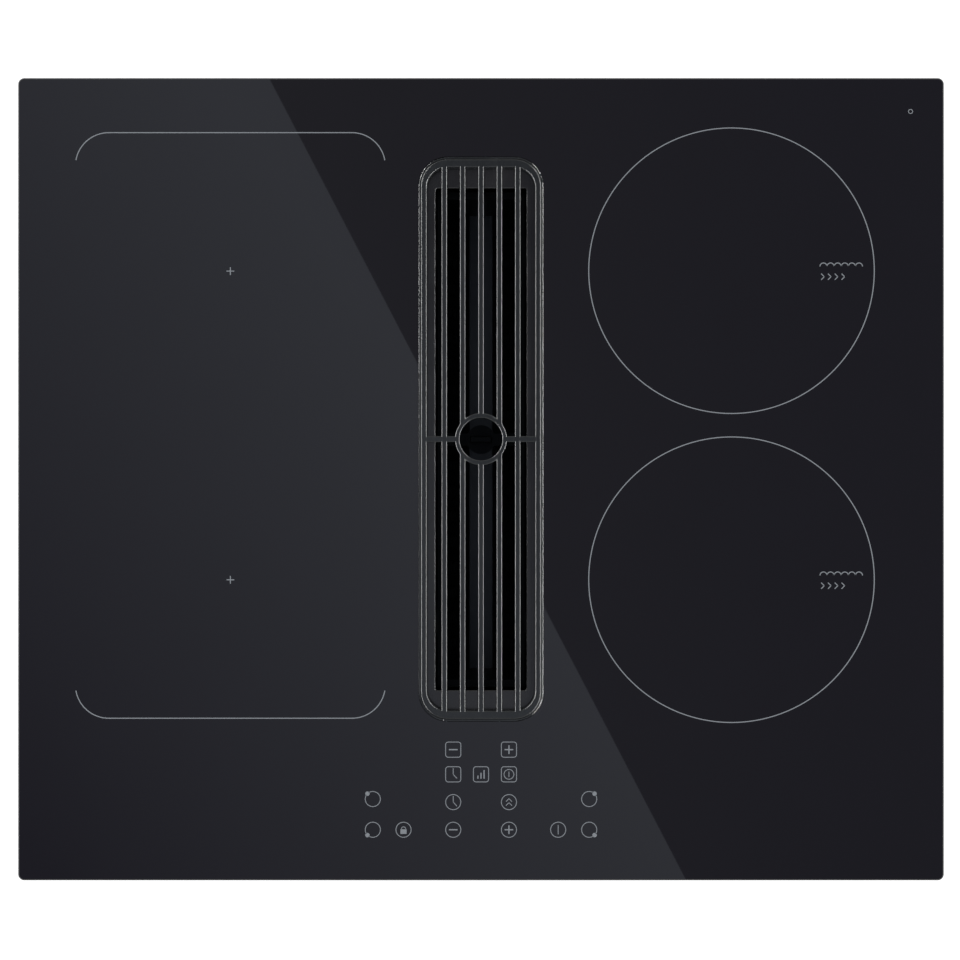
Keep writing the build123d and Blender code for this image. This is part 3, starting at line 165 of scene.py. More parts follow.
def mixed(tree, share, low, high):
    """A colour between two; the node's colour sockets are inputs 6 and 7 and output 2."""
    mix = add_node(tree, "ShaderNodeMix", {"data_type": "RGBA"}, {
        "Factor": share, 6: low, 7: high})
    return mix.outputs[2]


def mottle(tree, place, size_mm, dark, light, stretch=(1, 1, 1)):
    """Noise between two hex colours; returns the colour and the noise, for roughness."""
    noise = noise_of(tree, place, size_mm, stretch, detail=3.0)
    return mixed(tree, noise, linear(dark), linear(light)), noise


def spread(tree, value, low, high):
    """Turns a value from 0 to 1 into one from low to high."""
    return add_node(tree, "ShaderNodeMapRange", inputs={
        "Value": value, "To Min": low, "To Max": high}).outputs["Result"]


def bump(tree, height, depth_mm):
    """A bump of a real depth."""
    return add_node(tree, "ShaderNodeBump", inputs={
        "Height": height, "Distance": depth_mm * MM, "Strength": 1.0}).outputs["Normal"]


def grain(tree, place, size_mm, depth_mm, stretch=(1, 1, 1)):
    """A bump from fine noise, as a textured mould or a drawn sheet leaves."""
    return bump(tree, noise_of(tree, place, size_mm, stretch, detail=2.0), depth_mm)


def dress(material, *nodes):
    """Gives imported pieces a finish, in place of the plain one that they came with."""
    for name in nodes:
        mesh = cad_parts[name].data
        mesh.materials.clear()
        mesh.materials.append(material)
    print(material.name, "on", ", ".join(nodes))


print("a 1 mm pattern has the scale", round(per_size(1.0)))

# %% [markdown]
# ## Black glass ceramic
# The plate is glass ceramic, dark right through and polished, so nearly all that the eye
# gets is what it mirrors. A plain dark base with the refractive index of glass does that.
# A trace of polish haze in the roughness keeps it from looking like a hole.

# %% Glass ceramic, polished
glass_index = 1.52
material, tree, shader, place = start_material("glass_ceramic_polished")
colour, noise = mottle(tree, place, size_mm=60.0, dark="#0a0a0d", light="#0c0c10")
feed(shader, {"Base Color": colour, "IOR": glass_index,
              "Roughness": spread(tree, noise, low=0.006, high=0.014)})
dress(material, "glass_top")

# %% [markdown]
# ## Enamelled cast iron
# The grille is cast iron with a matt black enamel. Enamel flows a little before it sets, so
# its surface has a soft orange-peel at about a millimetre, and its grey is never quite
# even. The coat is duller than the glass beside it.

# %% Enamel on the grille
enamel_index = 1.5
material, tree, shader, place = start_material("enamel_matt_black")
colour, noise = mottle(tree, place, size_mm=3.0, dark="#0d1112", light="#131718")
feed(shader, {"Base Color": colour, "IOR": enamel_index,
              "Roughness": spread(tree, noise, low=0.17, high=0.23),
              "Normal": grain(tree, place, size_mm=0.9, depth_mm=0.0006)})
dress(material, "grille")

# %% [markdown]
# ## Moulded plastics
# The insert, the ducts, the scroll housing and the fans are injection moulded. Moulds are
# sparked or etched to a fine texture so that flow marks don't show, and that texture is what
# gives these plastics their even, soft sheen. One function makes the family, with the
# colour, the texture's grain and the roughness of each.

# %% Moulded plastics
plastic_index = 1.53
patch_mm = 25.0
gloss_swing = 0.05


def moulded(name, dark, light, grain_mm, depth_mm, roughness):
    """An injection-moulded plastic with an etched texture."""
    material, tree, shader, place = start_material(name)
    colour, noise = mottle(tree, place, patch_mm, dark, light)
    feed(shader, {
        "Base Color": colour, "IOR": plastic_index,
        "Roughness": spread(tree, noise, roughness - gloss_swing, roughness + gloss_swing),
        "Normal": grain(tree, place, grain_mm, depth_mm)})
    return material


# Name, dark and light colour, grain and its depth in millimetres, and roughness.
insert_plastic = moulded("abs_black_satin", "#101415", "#161a1b", 0.5, 0.0008, 0.16)
gland_plastic = moulded("nylon_gland_black", "#101415", "#161a1b", 0.5, 0.0008, 0.16)
housing_plastic = moulded("polypropylene_etched_grey", "#34373a", "#3d4043", 0.8, 0.03, 0.5)
fan_plastic = moulded("nylon_black", "#1b1c1e", "#232426", 0.6, 0.01, 0.38)
carrier_plastic = moulded("glass_filled_nylon_sand", "#bab3a4", "#cac3b4", 1.2, 0.02, 0.6)
cup_plastic = moulded("polypropylene_grey_smooth", "#8b8f92", "#95999c", 1.5, 0.01, 0.28)
terminal_plastic = moulded("polyamide_white", "#dcdcd6", "#e6e6e0", 0.8, 0.01, 0.4)
dress(insert_plastic, "intake_insert")
dress(gland_plastic, "cable_gland")
dress(housing_plastic, "air_well", "plenum_cover", "cup_spigot", "plenum_walls",
      "plenum_floor", "volute_body", "volute_cover", "inlet_ring", "outlet_spigot",
      "terminal_box")
dress(fan_plastic, "impeller", "flap_top", "flap_middle", "flap_bottom", "cooling_fan_left",
      "cooling_fan_right", "fan_rotor_left", "fan_rotor_right")
dress(carrier_plastic, "coil_carrier_front_left", "coil_carrier_rear_left",
      "coil_carrier_front_right", "coil_carrier_rear_right", "touch_carrier")
dress(cup_plastic, "overflow_cup")
dress(terminal_plastic, "terminal_block")

# %% [markdown]
# ## Inside the insert's duct
# Over a short way below the mouth's edge, the insert's plastic is painted dark and its gloss
# is turned down. This is painted shade, standing in for the shade deep in the duct, so that
# the lugs that carry the filter don't catch the light.

# %% Painted shade in the duct below the mouth
# Painted shade: between these two heights the plastic darkens and loses its gloss.
shade_from_z = -6.0 * MM
shade_to_z = -9.0 * MM
painted_shade_colour = "#050606"
satin_gloss = 0.5
shaded_gloss = 0.05
tree = insert_plastic.node_tree
shader = next(node for node in tree.nodes if node.type == "BSDF_PRINCIPLED")
place = add_node(tree, "ShaderNodeTexCoord").outputs["Object"]
height = add_node(tree, "ShaderNodeSeparateXYZ", inputs={"Vector": place}).outputs["Z"]
painted_shade = add_node(tree, "ShaderNodeMapRange", inputs={
    "Value": height, "From Min": shade_from_z, "From Max": shade_to_z}).outputs["Result"]
satin = shader.inputs["Base Color"].links[0].from_socket
# Painted shade: a dark colour and low gloss put in place of the duct's shade.
feed(shader, {"Base Color": mixed(tree, painted_shade, satin, linear(painted_shade_colour)),
              "Specular IOR Level": spread(tree, painted_shade, satin_gloss, shaded_gloss)})
print("duct dulled below", shade_from_z / MM, "mm")

# %% [markdown]
# ## Sheet metals
# The pan is galvanised steel: hot zinc freezes on the sheet in flat crystals up to a
# centimetre wide, each a little lighter or darker, which Voronoi cells copy well. The filter
# is stainless sheet, blackened and brushed along its length, so its noise is stretched along
# Y. The coil plates and heatsinks are plain mill-finish aluminium, with rolling lines.

# %% Galvanised steel
spangle_mm = 9.0
galvanised_steel, tree, shader, place = start_material("steel_galvanised_spangle")
crystals = add_node(tree, "ShaderNodeTexVoronoi", inputs={
    "Vector": place, "Scale": per_size(spangle_mm)})
tone = add_node(tree, "ShaderNodeRGBToBW", inputs={
    "Color": crystals.outputs["Color"]}).outputs["Val"]
feed(shader, {"Base Color": mixed(tree, tone, linear("#9ca3a6"), linear("#b9c0c2")),
              "Roughness": spread(tree, tone, low=0.34, high=0.5),
              "Normal": grain(tree, place, size_mm=4.0, depth_mm=0.02), "Metallic": 1.0})
dress(galvanised_steel, "base_pan", "clamp_brackets")

# %% Brushed and rolled metals
line_depth_mm = 0.004
along_x = (0.05, 1, 1)
along_y = (1, 0.04, 1)
along_z = (1, 1, 0.1)
evenly = (1, 1, 1)


def brushed(name, dark, light, line_mm, stretch, rough_low, rough_high):
    """A rolled or brushed metal, its fine lines drawn out along one axis."""
    material, tree, shader, place = start_material(name)
    colour, noise = mottle(tree, place, line_mm, dark, light, stretch)
    feed(shader, {"Base Color": colour, "Metallic": 1.0,
                  "Roughness": spread(tree, noise, rough_low, rough_high),
                  "Normal": grain(tree, place, line_mm, line_depth_mm, stretch)})
    return material


# Name, dark and light colour, lines in millimetres, their way, and roughness from and to.
filter_steel = brushed("steel_stainless_blackened", "#0f1112", "#161819", 0.4, along_y,
                       0.35, 0.5)
liner_steel = brushed("steel_stainless_dull", "#3c4042", "#4a4e51", 0.4, along_y, 0.35, 0.5)
mill_aluminium = brushed("aluminium_mill_finish", "#b9bdc0", "#cfd3d6", 0.5, along_x,
                         0.3, 0.42)
zinc_plating = brushed("steel_bright_zinc", "#b4b8bd", "#d2d6da", 0.6, evenly, 0.2, 0.3)
ground_steel = brushed("steel_ground", "#8f9396", "#b5b9bc", 0.3, along_z, 0.2, 0.3)
dress(filter_steel, "filter_frame", "filter_handle", "drip_tray", "filter_screen_left",
      "filter_screen_right")
dress(mill_aluminium, "coil_plate_left", "coil_plate_right", "heatsinks")
dress(zinc_plating, "housing_screws", "clamp_screws")
dress(ground_steel, "motor_shaft", "plate_posts")

# %% [markdown]
# ## Rubber and foam
# The seal under the glass is closed-cell foam, so its bump is made of small cells. The pads,
# mounts and rings are silicone rubber, dull and smooth, which the function for moulded
# plastics makes as well.

# %% Foam and silicone
cell_mm = 0.8
material, tree, shader, place = start_material("foam_closed_cell")
colour = mottle(tree, place, size_mm=8.0, dark="#17181a", light="#222426")[0]
cells = add_node(tree, "ShaderNodeTexVoronoi", inputs={
    "Vector": place, "Scale": per_size(cell_mm)})
feed(shader, {"Base Color": colour, "Roughness": 0.85,
              "Normal": bump(tree, cells.outputs["Distance"], depth_mm=0.2)})
dress(material, "glass_seal")

silicone = moulded("silicone_rubber_black", "#141516", "#1b1c1d", 1.0, 0.01, 0.62)
dress(silicone, "grille_pads", "well_gasket", "fan_mounts", "cup_seal", "coil_sensors")

# %% [markdown]
# ## The coils and what lies round them
# A coil is one long cord of enamelled copper strands, twisted together: thin slanted lines
# across the cord tell that. Ferrite and mica are pressed, and the capacitors and chokes are
# dipped in resin, so all three are even and need little more than their colour. The boards
# are green, with the lighter lines of their tracks.

# %% Coils, ferrite, mica and boards
strand_mm = 0.9
material, tree, shader, place = start_material("copper_litz_enamelled")
strands = add_node(
    tree, "ShaderNodeTexWave", {"wave_type": "BANDS", "bands_direction": "DIAGONAL"},
    {"Vector": place, "Scale": per_size(strand_mm) / (2 * pi), "Distortion": 1.5,
     "Detail": 1.0}).outputs["Fac"]
feed(shader, {"Base Color": mixed(tree, strands, linear("#7a3a1c"), linear("#c9743e")),
              "Normal": bump(tree, strands, depth_mm=0.15), "Metallic": 0.8,
              "Roughness": 0.35})
dress(material, "coil_front_left", "coil_rear_left", "coil_front_right", "coil_rear_right")

ferrite = moulded("ferrite_sintered", "#3a3a3d", "#46464a", 0.3, 0.02, 0.55)
mica = moulded("mica_pressed", "#a2957d", "#beb29a", 5.0, 0.05, 0.35)
resin = moulded("resin_dark_blue", "#1a2032", "#222a3e", 2.0, 0.01, 0.25)
motor_paint = moulded("motor_can_passivated", "#7f8487", "#8d9295", 1.0, 0.01, 0.35)
dress(ferrite, "ferrite_bars")
dress(mica, "mica_sheets")
dress(resin, "power_parts")
dress(motor_paint, "fan_motor")

track_mm = 14.0
material, tree, shader, place = start_material("board_solder_mask_green")
tracks = add_node(tree, "ShaderNodeTexBrick", {"offset": 0.37}, {
    "Vector": place, "Scale": per_size(track_mm), "Mortar Size": 0.06,
    "Color1": linear("#0f5a30"), "Color2": linear("#0d5029"), "Mortar": linear("#1d7a45")})
feed(shader, {"Base Color": tracks.outputs["Color"], "Roughness": 0.3})
dress(material, "power_board_left", "power_board_right", "touch_board")
print("undressed nodes:", [n for n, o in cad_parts.items() if not o.data.materials])

# %% [markdown]
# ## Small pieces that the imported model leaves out
# Sheet and mouldings of this size need stiffening, and these details also tell how the thing
# is made. They are all blocks and flattened balls, drawn in millimetres and scaled when they
# are finished.


# %% Blocks and rivets
def brick(bm, low, high, soft=0.0):
    """A block between two corners, in millimetres, with its edges rounded if asked."""
    low, high = Vector(low), Vector(high)
    verts = bmesh.ops.create_cube(bm, size=1.0)["verts"]
    bmesh.ops.scale(bm, verts=verts, vec=high - low)
    bmesh.ops.translate(bm, verts=verts, vec=(low + high) / 2)
    if soft:
        edges = list({edge for vert in verts for edge in vert.link_edges})
        verts = bmesh.ops.bevel(bm, geom=edges, offset=soft, affect="EDGES", segments=3,
                                profile=0.5, material=-1)["verts"]
    return verts


def rivet(bm, at, radius, rise, axis):
    """A domed head on a sheet across an axis; half of the flattened ball lies in the sheet."""
    ball = bmesh.ops.create_uvsphere(bm, u_segments=16, v_segments=8, radius=radius)["verts"]
    flat = [1.0, 1.0, 1.0]
    flat[axis] = rise / radius
    bmesh.ops.scale(bm, verts=ball, vec=flat)
    bmesh.ops.translate(bm, verts=ball, vec=at)


def add_object(bm, name, material):
    """Makes an object of a mesh and puts it into the scene."""
    mesh = bpy.data.meshes.new(name)
    bm.to_mesh(mesh)
    bm.free()
    mesh.materials.append(material)
    made = bpy.data.objects.new(name, mesh)
    bpy.context.scene.collection.objects.link(made)
    return made


def finish_piece(bm, name, body, material):
    """Makes an object of a mesh drawn in millimetres, and lets it ride on a body."""
    bmesh.ops.scale(bm, verts=bm.verts, vec=(MM, MM, MM))
    piece = add_object(bm, name, material)
    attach(piece, body)
    print(name, "faces:", len(piece.data.polygons))


def box_mm(node):
    """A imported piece's box, in millimetres."""
    low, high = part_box(node)
    return low / MM, high / MM


pan_low, pan_high = box_mm("base_pan")
print("pan in mm:", [round(side, 1) for side in pan_high - pan_low])

# %% [markdown]
# ### On the pan
# The pan's walls have long pressed beads and riveted corners, and a blank plate where a
# maker would put the data. A pressed bead is hollow behind, but nobody sees its back here,
# so a rounded block that sinks into the wall does.

# %% Beads along the walls
bead_half = 3.5
bead_rise = 0.9
bead_sink = 0.5
bead_soft = 0.85
bead_z = -37.0
bead_end_gap = 22.0
side_bead_half = 118.0

bm = bmesh.new()
brick(bm, (pan_low.x + bead_end_gap, pan_low.y - bead_rise, bead_z - bead_half),
      (pan_high.x - bead_end_gap, pan_low.y + bead_sink, bead_z + bead_half), bead_soft)
for wall_x in (pan_low.x, pan_high.x):
    brick(bm, (wall_x - bead_rise, -side_bead_half, bead_z - bead_half),
          (wall_x + bead_rise, side_bead_half, bead_z + bead_half), bead_soft)
finish_piece(bm, "pan_beads", "hob", galvanised_steel)

# %% Rivets at the corners
rivet_radius = 2.4
rivet_rise = 0.9
rivet_rows = (-42.0, -8.0)
rivet_from_corner = 9.0

bm = bmesh.new()
for wall_y in (pan_low.y, pan_high.y):
    for side in (-1, 1):
        for z in rivet_rows:
            at = (side * (pan_high.x - rivet_from_corner), wall_y, z)
            rivet(bm, at, rivet_radius, rivet_rise, axis=1)
finish_piece(bm, "pan_rivets", "hob", mill_aluminium)

# %% Blank plate
plate_half = 34.0
plate_low_z = -27.0
plate_high_z = -7.0
plate_sheet = 0.4
plate_soft = 0.15
plate_rivet_gap = 4
plate_rivet_radius = 1.6
plate_rivet_rise = 0.6
plate_x = pan_low.x - plate_sheet

bm = bmesh.new()
brick(bm, (plate_x, -plate_half, plate_low_z), (pan_low.x, plate_half, plate_high_z), plate_soft)
for end in (-1, 1):
    at = (plate_x, end * (plate_half - plate_rivet_gap), (plate_low_z + plate_high_z) / 2)
    rivet(bm, at, plate_rivet_radius, plate_rivet_rise, axis=0)
finish_piece(bm, "data_plate_blank", "hob", mill_aluminium)

# %% [markdown]
# ### Ribs on the mouldings
# The plenum and the scroll housing are thin and large, so they carry upright ribs below
# their flanges. The scroll's wall is drawn by three quarter rounds, each wider than the one
# before, and by a straight wall: the ribs follow the same four runs.

# %% Ribs on the plenum
rib_half = 0.8
rib_rise = 2.2
rib_sink = 0.5
flange_reach = 8.0
rib_floor_gap = 3.0
rib_flange_gap = 2.0
side_rib_count = 12
side_rib_pitch = 25.0
end_rib_count = 9
end_rib_pitch = 25.6
plenum_low, plenum_high = box_mm("plenum_cover")
plenum_middle = (plenum_low + plenum_high) / 2
tub_rib_low = box_mm("plenum_floor")[0].z + rib_floor_gap
tub_rib_high = plenum_low.z - rib_flange_gap


def rib_reach(wall, side):
    """From where to where a rib stands across its wall, the lower value first."""
    return sorted((wall - side * rib_sink, wall + side * rib_rise))


bm = bmesh.new()
for step in range(side_rib_count):
    y = plenum_middle.y + side_rib_pitch * (step - (side_rib_count - 1) / 2)
    for wall_x, side in ((plenum_low.x + flange_reach, -1), (plenum_high.x - flange_reach, 1)):
        near, far = rib_reach(wall_x, side)
        brick(bm, (near, y - rib_half, tub_rib_low), (far, y + rib_half, tub_rib_high))
for step in range(end_rib_count):
    x = plenum_middle.x + end_rib_pitch * (step - (end_rib_count - 1) / 2)
    for wall_y, side in ((plenum_low.y + flange_reach, -1), (plenum_high.y - flange_reach, 1)):
        near, far = rib_reach(wall_y, side)
        brick(bm, (x - rib_half, near, tub_rib_low), (x + rib_half, far, tub_rib_high))
finish_piece(bm, "plenum_ribs", "hob", housing_plastic)

# %% Ribs on the scroll housing
scroll_foot_gap = 0.5
scroll_head_gap = 6.0
scroll_middle = Vector((152.0, -46.0, 0))
scroll_radius = 97.0
scroll_growth = 6.0
scroll_shifts = ((0, 0, 0), (1, 0, 0), (1, 1, 0))
ribs_per_quarter = 6
wall_rib_count = 9
wall_rib_first = -14.0
wall_rib_pitch = 26.0
cover_low, cover_high = box_mm("volute_cover")
scroll_rib_low = box_mm("air_well")[0].z + scroll_foot_gap
scroll_rib_high = cover_low.z - scroll_head_gap

bm = bmesh.new()
for number, shift in enumerate(scroll_shifts):
    radius = scroll_radius + number * scroll_growth
    centre = scroll_middle + scroll_growth * Vector(shift)
    for step in range(ribs_per_quarter):
        turn = 90 * (number + 1 + (step + 0.5) / ribs_per_quarter)
        verts = brick(bm, (radius - rib_sink, -rib_half, scroll_rib_low),
                      (radius + rib_rise, rib_half, scroll_rib_high))
        bmesh.ops.rotate(bm, verts=verts, matrix=Matrix.Rotation(radians(turn), 3, "Z"))
        bmesh.ops.translate(bm, verts=verts, vec=centre)
near, far = rib_reach(cover_high.x - flange_reach, 1)
for step in range(wall_rib_count):
    y = wall_rib_first + wall_rib_pitch * step
    brick(bm, (near, y - rib_half, scroll_rib_low), (far, y + rib_half, scroll_rib_high))
finish_piece(bm, "scroll_ribs", "hob", housing_plastic)

# %% [markdown]
# ### At the mains connection
# The terminal box hangs under the pan with its lid at the bottom, held by four screws. The
# cable gland beside it is tightened by hand, so its nut has grip ribs all round.

# %% Lid of the terminal box
lid_low, lid_high = box_mm("terminal_box")
lid_drop = 1.4
lid_inset = 3.0
lid_soft = 0.5
lid_screw_inset = 9.0
lid_screw_radius = 2.6
lid_screw_rise = 1.4
lid_z = lid_low.z - lid_drop

bm = bmesh.new()
brick(bm, (lid_low.x + lid_inset, lid_low.y + lid_inset, lid_z),
      (lid_high.x - lid_inset, lid_high.y - lid_inset, lid_low.z), lid_soft)
finish_piece(bm, "terminal_lid", "hob", housing_plastic)
bm = bmesh.new()
for x in (lid_low.x + lid_screw_inset, lid_high.x - lid_screw_inset):
    for y in (lid_low.y + lid_screw_inset, lid_high.y - lid_screw_inset):
        rivet(bm, (x, y, lid_z), lid_screw_radius, lid_screw_rise, axis=2)
finish_piece(bm, "terminal_lid_screws", "hob", zinc_plating)

# %% Grip of the cable gland
gland_low, gland_high = box_mm("cable_gland")
gland_middle = (gland_low + gland_high) / 2
gland_radius = 10.5
grip_count = 18
grip_sink = 0.4
grip_rise = 0.7
grip_half = 0.6
grip_soft = 0.25
grip_front = gland_high.y - 8.5
grip_back = gland_high.y - 0.6

bm = bmesh.new()
for step in range(grip_count):
    verts = brick(bm, (gland_radius - grip_sink, grip_front, -grip_half),
                  (gland_radius + grip_rise, grip_back, grip_half), grip_soft)
    turn = Matrix.Rotation(2 * pi * step / grip_count, 3, "Y")
    bmesh.ops.rotate(bm, verts=verts, matrix=turn)
    bmesh.ops.translate(bm, verts=verts, vec=(gland_middle.x, 0, gland_middle.z))
finish_piece(bm, "gland_grip", "hob", gland_plastic)

# %% [markdown]
# ### Inside the filter
# A fine wire mesh backs the punched screens, and the gutter between them has a plain liner.
# Through the grille the liner shows as a slightly lighter strip down the middle. The mesh is
# drawn upright, then leaned like its screen, and turned about for the left side.

# %% Wire mesh behind the screens
screen_low, screen_high = box_mm("filter_screen_right")
wire = 0.5
wire_pitch = 3.0
mesh_rise = 1.35
mesh_margin = 4.0
sheet_half = 1.0
foot = Vector((screen_low.x + sheet_half, 0, screen_low.z))
top = Vector((screen_high.x - sheet_half, 0, screen_high.z))
slope = (top - foot).normalized()
lean = Matrix(((slope.z, 0, slope.x), (0, 1, 0), (-slope.x, 0, slope.z)))
mesh_middle = (foot + top) / 2 + Vector((0, (screen_low.y + screen_high.y) / 2, 0))
half_slope = (top - foot).length / 2 - mesh_margin
half_length = (screen_high.y - screen_low.y) / 2 - mesh_margin
rows = int(half_slope / wire_pitch)
columns = int(half_length / wire_pitch)
near, far = mesh_rise, mesh_rise + wire

for side, name in ((-1, "left"), (1, "right")):
    bm = bmesh.new()
    for row in range(-rows, rows + 1):
        v = row * wire_pitch
        brick(bm, (near, -half_length, v - wire / 2), (far, half_length, v + wire / 2))
    for column in range(-columns, columns + 1):
        u = column * wire_pitch
        brick(bm, (near, u - wire / 2, -half_slope), (far, u + wire / 2, half_slope))
    bmesh.ops.rotate(bm, verts=bm.verts, matrix=lean)
    bmesh.ops.translate(bm, verts=bm.verts, vec=mesh_middle)
    if side < 0:
        bmesh.ops.rotate(bm, verts=bm.verts, matrix=Matrix.Rotation(pi, 3, "Z"),
                         cent=(0, mesh_middle.y, 0))
    finish_piece(bm, "filter_mesh_" + name, "filter", filter_steel)

# %% Liner of the gutter
frame_low, frame_high = box_mm("filter_frame")
liner_half = 8.2
liner_rise = 1.4
liner_sheet = 0.3
liner_end_gap = 3
liner_z = frame_low.z + liner_rise

bm = bmesh.new()
brick(bm, (-liner_half, frame_low.y + liner_end_gap, liner_z),
      (liner_half, frame_high.y - liner_end_gap, liner_z + liner_sheet))
finish_piece(bm, "gutter_liner", "filter", liner_steel)

# %% [markdown]
# ## Marks printed on the glass
# The zone outlines and the touch keys are printed in pale grey ceramic ink and fired on.
# They could be painted by a texture, but thin raised faces give a crisp line at any zoom
# and stay with the exported model, so every mark is a flat mesh that stands two hundredths
# of a millimetre above the glass and as much inside it.

# %% Ceramic ink, fired
ink, tree, shader, place = start_material("ceramic_ink_grey")
colour, noise = mottle(tree, place, size_mm=1.5, dark="#70757a", light="#7c8186")
feed(shader, {"Base Color": colour, "Roughness": spread(tree, noise, low=0.4, high=0.55)})
print("ink:", ink.name)

# %% Flat strokes
print_rise = 0.02
print_sink = 0.02
arc_step = 1.2
fewest_steps = 8
dot_segments = 20


def bar(bm, middle, length, width, turn=0.0):
    """A straight bar about its middle: one square face, stretched, turned and moved."""
    verts = bmesh.ops.create_grid(bm, x_segments=1, y_segments=1, size=0.5)["verts"]
    bmesh.ops.scale(bm, verts=verts, vec=(length, width, 1))
    bmesh.ops.rotate(bm, verts=verts, matrix=Matrix.Rotation(radians(turn), 3, "Z"))
    bmesh.ops.translate(bm, verts=verts, vec=(middle[0], middle[1], 0))


def cross(bm, middle, size, width):
    """One long bar and two short arms, so that no faces lie one on the other."""
    bar(bm, middle, size, width)
    arm = (size - width) / 2
    for half in (-1, 1):
        bar(bm, (middle[0], middle[1] + half * (arm + width) / 2), width, arm)


def arc(bm, centre, radius, width, start=0.0, sweep=360.0):
    """A ring or a part of one: a short edge across the line, spun about the centre."""
    heading = Vector((cos(radians(start)), sin(radians(start)), 0))
    middle = Vector((centre[0], centre[1], 0))
    across = [bm.verts.new(middle + heading * (radius + side * width / 2)) for side in (-1, 1)]
    edge = bm.edges.new(across)
    steps = max(fewest_steps, round(radians(abs(sweep)) * radius / arc_step))
    bmesh.ops.spin(bm, geom=across + [edge], cent=middle, axis=(0, 0, 1),
                   angle=radians(sweep), steps=steps, use_merge=abs(sweep) == 360)


def dot(bm, centre, radius):
    """A small filled round."""
    verts = bmesh.ops.create_circle(bm, cap_ends=True, segments=dot_segments,
                                    radius=radius)["verts"]
    bmesh.ops.translate(bm, verts=verts, vec=(centre[0], centre[1], 0))


def to_print(bm, name):
    """Gives finished strokes their thickness and lays them on the glass."""
    bmesh.ops.recalc_face_normals(bm, faces=bm.faces)
    down = [face for face in bm.faces if face.normal.z < 0]
    bmesh.ops.reverse_faces(bm, faces=down)
    body = bmesh.ops.extrude_face_region(bm, geom=bm.faces[:], use_keep_orig=True)
    lower = [item for item in body["geom"] if isinstance(item, bmesh.types.BMVert)]
    bmesh.ops.translate(bm, verts=lower, vec=(0, 0, -print_rise - print_sink))
    bmesh.ops.recalc_face_normals(bm, faces=bm.faces)
    bmesh.ops.translate(bm, verts=bm.verts, vec=(0, 0, face_z / MM + print_rise))
    finish_piece(bm, name, "hob", ink)


print("ink stands", print_rise, "mm above the glass")

# %% [markdown]
# ### Cooking zones
# On the right are two round zones. On the left one long zone for a griddle or two pans is
# drawn by a line at its back and one at its front, each bent in at both ends, with a small
# cross where a single pan stands.

# %% Zone outlines
zone_line = 0.64
round_zones = [(162.3, 135.1), (162.3, -65.1)]
round_zone_radius = 92.5
long_zone_middle = (-162.4, 34.85)
long_zone_half_height = 189.7
long_zone_half_line = 78.8
long_zone_bend = 21.6
long_zone_sweep = 80.0
cross_spread = 200.0
cross_size = 5.0

bm = bmesh.new()
for centre in round_zones:
    arc(bm, centre, round_zone_radius, zone_line)
middle_x, middle_y = long_zone_middle
for end in (-1, 1):
    line_y = middle_y + end * long_zone_half_height
    bar(bm, (middle_x, line_y), 2 * long_zone_half_line, zone_line)
    for side in (-1, 1):
        bend_at = (middle_x + side * long_zone_half_line, line_y - end * long_zone_bend)
        arc(bm, bend_at, long_zone_bend, zone_line, end * 90, -side * end * long_zone_sweep)
    cross(bm, (middle_x, middle_y + end * cross_spread / 2), cross_size, zone_line)
to_print(bm, "zone_marks")

# %% [markdown]
# Beside each round zone are two signs: a coil, drawn as a row of half rounds, for induction,
# and four chevrons for the boost.

# %% Signs beside the round zones
sign_x = 219.6
sign_line = 0.6
sign_rise = 3.9
sign_drop = 3.9
coil_sign_loops = 6
coil_sign_radius = 2.3
chevron_count = 4
chevron_pitch = 4.4
chevron_tip = 2.8
chevron_leg = 2.8
chevron_reach = 1.0

bm = bmesh.new()
for centre in round_zones:
    loop_y = centre[1] + sign_rise - coil_sign_radius / 2
    for loop in range(coil_sign_loops):
        loop_x = sign_x + coil_sign_radius + loop * 2 * coil_sign_radius
        arc(bm, (loop_x, loop_y), coil_sign_radius, sign_line, 0, 180)
    for step in range(chevron_count):
        tip_x = sign_x + chevron_tip + step * chevron_pitch
        for half in (-1, 1):
            leg_at = (tip_x - chevron_reach, centre[1] - sign_drop + half * chevron_reach)
            bar(bm, leg_at, chevron_leg, sign_line, -half * 45)
to_print(bm, "zone_signs")

# %% [markdown]
# ### Touch keys
# The keys are drawn as rounded squares for the extractor and as circles for the zones. Each
# sign inside is one that any cooker might carry: plus, minus, a clock's hands, a padlock,
# rising bars for the fan's speed, chevrons for the boost, a ring with a stroke for power,
# and a stroke alone.

# %% Key outlines and signs
key_line = 0.5
key_radius = 4.92
key_corner = 1.7
sign_size = 5.6
sign_bar = 0.8


def round_key(bm, at):
    """The ring round a key."""
    arc(bm, at, key_radius, key_line)


def square_key(bm, at):
    """The rounded square round a key."""
    reach = key_radius - key_corner
    for turn in range(4):
        outward = Vector((cos(radians(90 * turn)), sin(radians(90 * turn))))
        edge_at = Vector(at) + outward * key_radius
        bar(bm, edge_at, 2 * reach, key_line, 90 * turn + 90)
        corner = Vector(at) + Vector((outward.x - outward.y, outward.x + outward.y)) * reach
        arc(bm, corner, key_corner, key_line, 90 * turn, 90)


def minus_sign(bm, at):
    bar(bm, at, sign_size, sign_bar)


def plus_sign(bm, at):
    cross(bm, at, sign_size, sign_bar)


def clock_sign(bm, at):
    """The long hand points up, the short one down to the right."""
    long_hand, short_hand, short_lean = 4.0, 3.6, -48
    bar(bm, (at[0], at[1] + 1.9), key_line, long_hand)
    bar(bm, (at[0] + 1.2, at[1] - 1.3), short_hand, key_line, short_lean)


def fan_speed_sign(bm, at):
    """Three bars, each taller than the one before."""
    pitch, foot_drop, lowest, growth = 2.0, 2.8, 2.0, 1.8
    for step in range(3):
        height = lowest + growth * step
        foot_y = at[1] - foot_drop
        bar(bm, (at[0] + (step - 1) * pitch, foot_y + height / 2), sign_bar, height)


def power_sign(bm, at):
    """A ring with an upright stroke."""
    ring_radius, stroke = 3.2, 3.6
    arc(bm, at, ring_radius, key_line)
    bar(bm, at, key_line, stroke)


